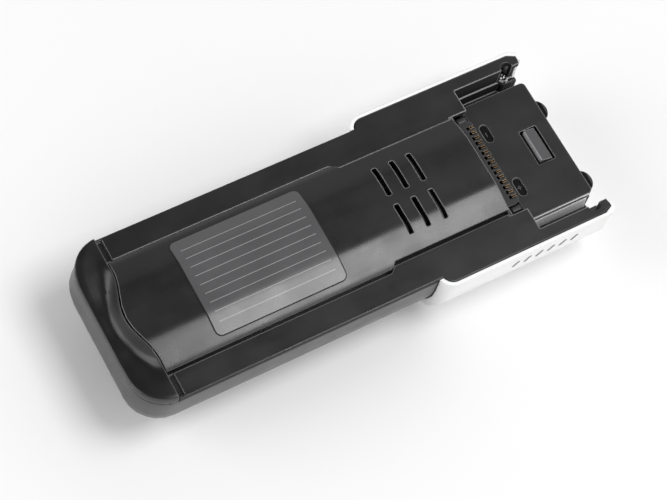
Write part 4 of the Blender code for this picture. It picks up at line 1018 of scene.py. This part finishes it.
@dataclass
class SmallPads:
    """Small pads: rounded ends of the contact carrier, screw shelves and painted shade in the lugs'
    pockets.
    """

    carrier_reach: float = 0.0031
    carrier_inset: float = 0.0006
    carrier_drop: float = 0.0008
    carrier_height: float = 0.0040
    carrier_turn: float = 0.0010
    shelf_reach: float = 0.0062
    shelf_inset: float = 0.0002
    shelf_width: float = 0.0009
    shelf_drop: float = 0.0101
    shelf_height: float = 0.0066
    shelf_turn: float = 0.0006
    channel_edge: float = 0.0352
    pocket_size: Span = (0.0084, 0.0034)
    pocket_from_nose: float = 0.0028
    pocket_thick: float = 0.00005
    pocket_offset: float = 0.0189
    lug_top: float = 0.0219

    def build(self) -> None:
        """Build the pads on both sides."""
        for side, word in SIDES:
            add_piece(f"carrier_end_{word}", self.carrier_end(side), CARRIER_BLACK, close_v=False)
            add_piece(f"screw_shelf_{word}", self.shelf(side), FRAME_BLACK, close_v=False)
            # Painted shade in the lug's pocket
            add_piece(f"lug_pocket_shade_{word}", self.pocket(side), RECESS_PAINTED_SHADE)

    def carrier_end(self, side: float) -> np.ndarray:
        """Give the rounded end that closes the recess beside the contact carrier on one side.

        Args:
            side: 1 for the far side, -1 for the near side.

        Returns:
            Points of shape (rows, columns, 3), over the pad's plan.
        """
        low, high = boxes(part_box("contact_carrier"))
        xs = (low[0] + self.carrier_inset, high[0] - self.carrier_inset)
        ys = (side * high[1], side * (high[1] + self.carrier_reach))
        top = high[2] - self.carrier_drop
        return rounded_pad(xs, ys, (top - self.carrier_height, top), self.carrier_turn)

    def shelf(self, side: float) -> np.ndarray:
        """Give the shelf that runs on from the screw's boss to the tip of the arm on one side.

        Args:
            side: 1 for the far side, -1 for the near side.

        Returns:
            Points of shape (rows, columns, 3), over the pad's plan.
        """
        high = boxes(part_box("front_frame"))[1]
        tip, top = high[0] - self.shelf_inset, high[2] - self.shelf_drop
        ys = (side * self.channel_edge, side * (self.channel_edge - 2 * self.shelf_width))
        return rounded_pad((tip - self.shelf_reach, tip), ys, (top - self.shelf_height, top),
                           self.shelf_turn)

    def pocket(self, side: float) -> np.ndarray:
        """Give the painted shade on the floor of a lug's pocket, a flat stadium across the lug on
        one side.

        Args:
            side: 1 for the far side, -1 for the near side.

        Returns:
            Points of shape (rows, columns, 3), the second parameter round the outline.
        """
        high = boxes(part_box("back_tray"))[1]
        across, along, level = stadium_plate(*self.pocket_size, self.pocket_thick)
        x = high[0] - self.pocket_from_nose + across
        return np.stack([x, side * self.pocket_offset + along, self.lug_top + level], axis=-1)


@dataclass
class Electrics:
    """Contacts, cells, holders, weld strips and the board."""

    contact_count: int = 15
    cell_count: int = 8

    def build(self) -> None:
        """Dress the electric parts."""
        contacts = [f"contact_{index:02d}" for index in range(1, self.contact_count + 1)]
        cells = [f"cell_{index}" for index in range(1, self.cell_count + 1)]
        strips = [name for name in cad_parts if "_link" in name or "_tab" in name]
        dress(["contact_carrier"], CARRIER_BLACK)
        dress(contacts, BRASS)
        dress(cells, CELL_SLEEVE)
        dress(["rear_cell_holder", "middle_cell_holder", "front_cell_holder"], HOLDER_BLACK)
        dress(sorted(strips), NICKEL)
        dress(["circuit_board"], BOARD_MASK)


@dataclass
class Latch:
    """The latch lever with its pin, spring and release button, and the screws."""

    catch_from_tip: float = 0.0054
    catch_half: float = 0.0075
    catch_drop: float = 0.0001
    catch_height: float = 0.0036
    catch_proud: float = 0.00012
    catch_overlap: float = 0.00002
    coil_turns: int = 5
    coil_wire: float = 0.0004
    coil_keep: float = 0.78
    coil_steps: int = 40
    coil_sides: int = 12

    def build(self) -> None:
        """Dress the latch and the screws, paint light onto the catch's face and let a coil stand in
        for the spring.
        """
        dress(["latch_lever", "release_button"], LATCH_GREY)
        dress(["latch_pin", "latch_spring"], STEEL)
        dress(["channel_screw_far", "channel_screw_near"], SCREW_BLACK)
        # Painted light: a pale pad on the catch's face
        add_piece("catch_face", self.catch(), CATCH_PAINTED_LIGHT, Body.LATCH, close_v=False)
        coil = add_piece("latch_coil", self.coil(), STEEL)
        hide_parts("latch_spring")
        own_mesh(coil)

    def coil(self) -> np.ndarray:
        """Give the coil spring: a round wire carried along a helix, closed at both ends.

        The helix turns at a constant radius while it rises from one wire radius above the bottom to
        one below the top. Round each point the wire is a circle in the radial and the upward
        directions.

        Returns:
            Points of shape (rows, columns, 3), first parameter along the wire, second round it.
        """
        low, high = boxes(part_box("latch_spring"))
        run = np.linspace(0.0, 1.0, self.coil_steps * self.coil_turns + 1)
        run = np.concatenate([[0.0], run, [1.0]])
        turn = (2 * np.pi * self.coil_turns * run)[:, None]
        thick = np.concatenate([[0.0], np.full(len(run) - 2, self.coil_wire), [0.0]])[:, None]
        round_wire = np.linspace(0.0, 2 * np.pi, self.coil_sides, endpoint=False)[None, :]
        out = (high[0] - low[0]) / 2 - self.coil_wire + thick * np.cos(round_wire)
        rise = high[2] - low[2] - 2 * self.coil_wire
        x = (low[0] + high[0]) / 2 + out * np.cos(turn)
        z = low[2] + self.coil_wire + rise * run[:, None] + thick * np.sin(round_wire)
        return np.stack([x, out * np.sin(turn), z], axis=-1)

    def catch(self) -> np.ndarray:
        """Give the catch's face: a thin pad with a rounded edge, its top facing back along X.

        Returns:
            Points of shape (rows, columns, 3), first parameter across the tongue, second upwards.
        """
        high = boxes(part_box("latch_lever"))[1]
        upper = high[2] - self.catch_drop
        pad = rounded_pad((-self.catch_half, self.catch_half), (upper - self.catch_height, upper),
                          (0.0, self.catch_proud + self.catch_overlap), self.catch_proud / 2)
        x = high[0] - self.catch_from_tip - pad[..., 2]
        return np.stack([x, pad[..., 0], pad[..., 1]], axis=-1)


# Studio

@dataclass(frozen=True)
class Softbox:
    """A rectangular lamp: where it stands, its size along X and across, and its radiance."""

    name: str
    place: Point
    size: Span
    radiance: float

    def build(self) -> None:
        """Make the lamp, facing the origin, with its first side as near to X as that allows."""
        lamp = bpy.data.lights.new(self.name, "AREA")
        lamp.shape = "RECTANGLE"
        lamp.size, lamp.size_y = self.size
        lamp.energy = self.radiance * math.pi * self.size[0] * self.size[1]
        back = np.array(self.place) / np.linalg.norm(self.place)
        right = np.array((1.0, 0.0, 0.0)) - back[0] * back
        right = right / np.linalg.norm(right)
        item = new_object(self.name, lamp)
        item.matrix_world = axes_pose(right, np.cross(back, right), back, self.place)


@dataclass
class Studio:
    """Pale floor, soft light, white surroundings and the camera at the photograph's angle."""

    floor_half: float = 4.0
    floor_points: int = 9
    floor_height: float = -0.00005
    floor_colour: Colour = (0.87, 0.87, 0.87)
    floor_roughness: float = 0.9
    dark_axis: Point = (-0.35, 0.25, 0.90)
    dark_span: Span = (0.44, 0.84)
    dark_level: float = 0.05
    focal_pixels: float = 2000.4245
    image_width: int = 667
    sensor: float = 36.0
    clip: Span = (0.01, 50.0)
    camera_place: Point = (-0.2622956, -0.2624810, 0.7664017)
    camera_right: Point = (0.86778419, -0.47919991, 0.13159804)
    camera_down: Point = (-0.38844427, -0.81926805, -0.42179487)
    camera_ahead: Point = (0.30993814, 0.31490841, -0.89709032)
    lamps: tuple[Softbox, ...] = (
        Softbox("near_strip", (0.356, -0.246, 1.065), (0.44, 0.53), 9.5),
        Softbox("left_softbox", (-1.02, 0.36, 0.60), (0.95, 0.75), 3.0),
    )

    def build(self) -> None:
        """Build floor, world, lamps and camera."""
        self.floor()
        self.world()
        for lamp in self.lamps:
            lamp.build()
        self.camera()

    def floor(self) -> None:
        """Make the floor as one square grid at the height that the pack lies on."""
        side = np.linspace(-self.floor_half, self.floor_half, self.floor_points)
        xs, ys = np.meshgrid(side, side, indexing="ij")
        points = np.stack([xs, ys, np.full_like(xs, self.floor_height)], axis=-1)
        mesh = grid_mesh("floor", points, solid=False)
        item = new_object("floor", mesh)
        material = bpy.data.materials.new("pale_floor")
        material.use_nodes = True
        shader = material.node_tree.nodes["Principled BSDF"]
        shader.inputs["Base Color"].default_value = (*self.floor_colour, 1.0)
        shader.inputs["Roughness"].default_value = self.floor_roughness
        shader.inputs["Specular IOR Level"].default_value = 0.0
        mesh.materials.append(material)

    def world(self) -> None:
        """Make the surroundings: white walls that darken towards the ceiling round one axis."""
        world = bpy.data.worlds.new("studio")
        world.use_nodes = True
        bpy.context.scene.world = world
        wire = Wiring(world.node_tree)
        back = world.node_tree.nodes["Background"]
        axis = np.array(self.dark_axis) / np.linalg.norm(self.dark_axis)
        meet = wire.node("VectorMath", {1: tuple(axis)}, operation="DOT_PRODUCT")
        wire.join(wire.node("TexCoord").outputs["Generated"], meet.inputs[0])
        level = wire.spread(meet.outputs["Value"], (1.0, self.dark_level), self.dark_span)
        wire.join(level, back.inputs["Strength"])
        back.inputs["Color"].default_value = (1.0, 1.0, 1.0, 1.0)

    def camera(self) -> None:
        """Make the camera at the photograph's viewing angle."""
        data = bpy.data.cameras.new("camera")
        data.sensor_width = self.sensor
        data.lens = self.focal_pixels / self.image_width * self.sensor
        data.clip_start, data.clip_end = self.clip
        item = new_object("camera", data)
        item.matrix_world = axes_pose(np.array(self.camera_right), -np.array(self.camera_down),
                                      -np.array(self.camera_ahead), self.camera_place)
        bpy.context.scene.camera = item
        bpy.context.scene.view_settings.view_transform = "Standard"


def main() -> None:
    """Build the sub-assemblies and the studio in order."""
    logging.basicConfig(level=logging.INFO, format="%(name)s: %(message)s")
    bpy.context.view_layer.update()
    for kind in (Housing, PaintedLightStrips, SlotShadePlates, PolarityMarks, SmallPads, Electrics, Latch):
        kind().build()
        LOG.info("built %s", kind.__name__)
    Studio().build()


if __name__ == "__main__":
    main()
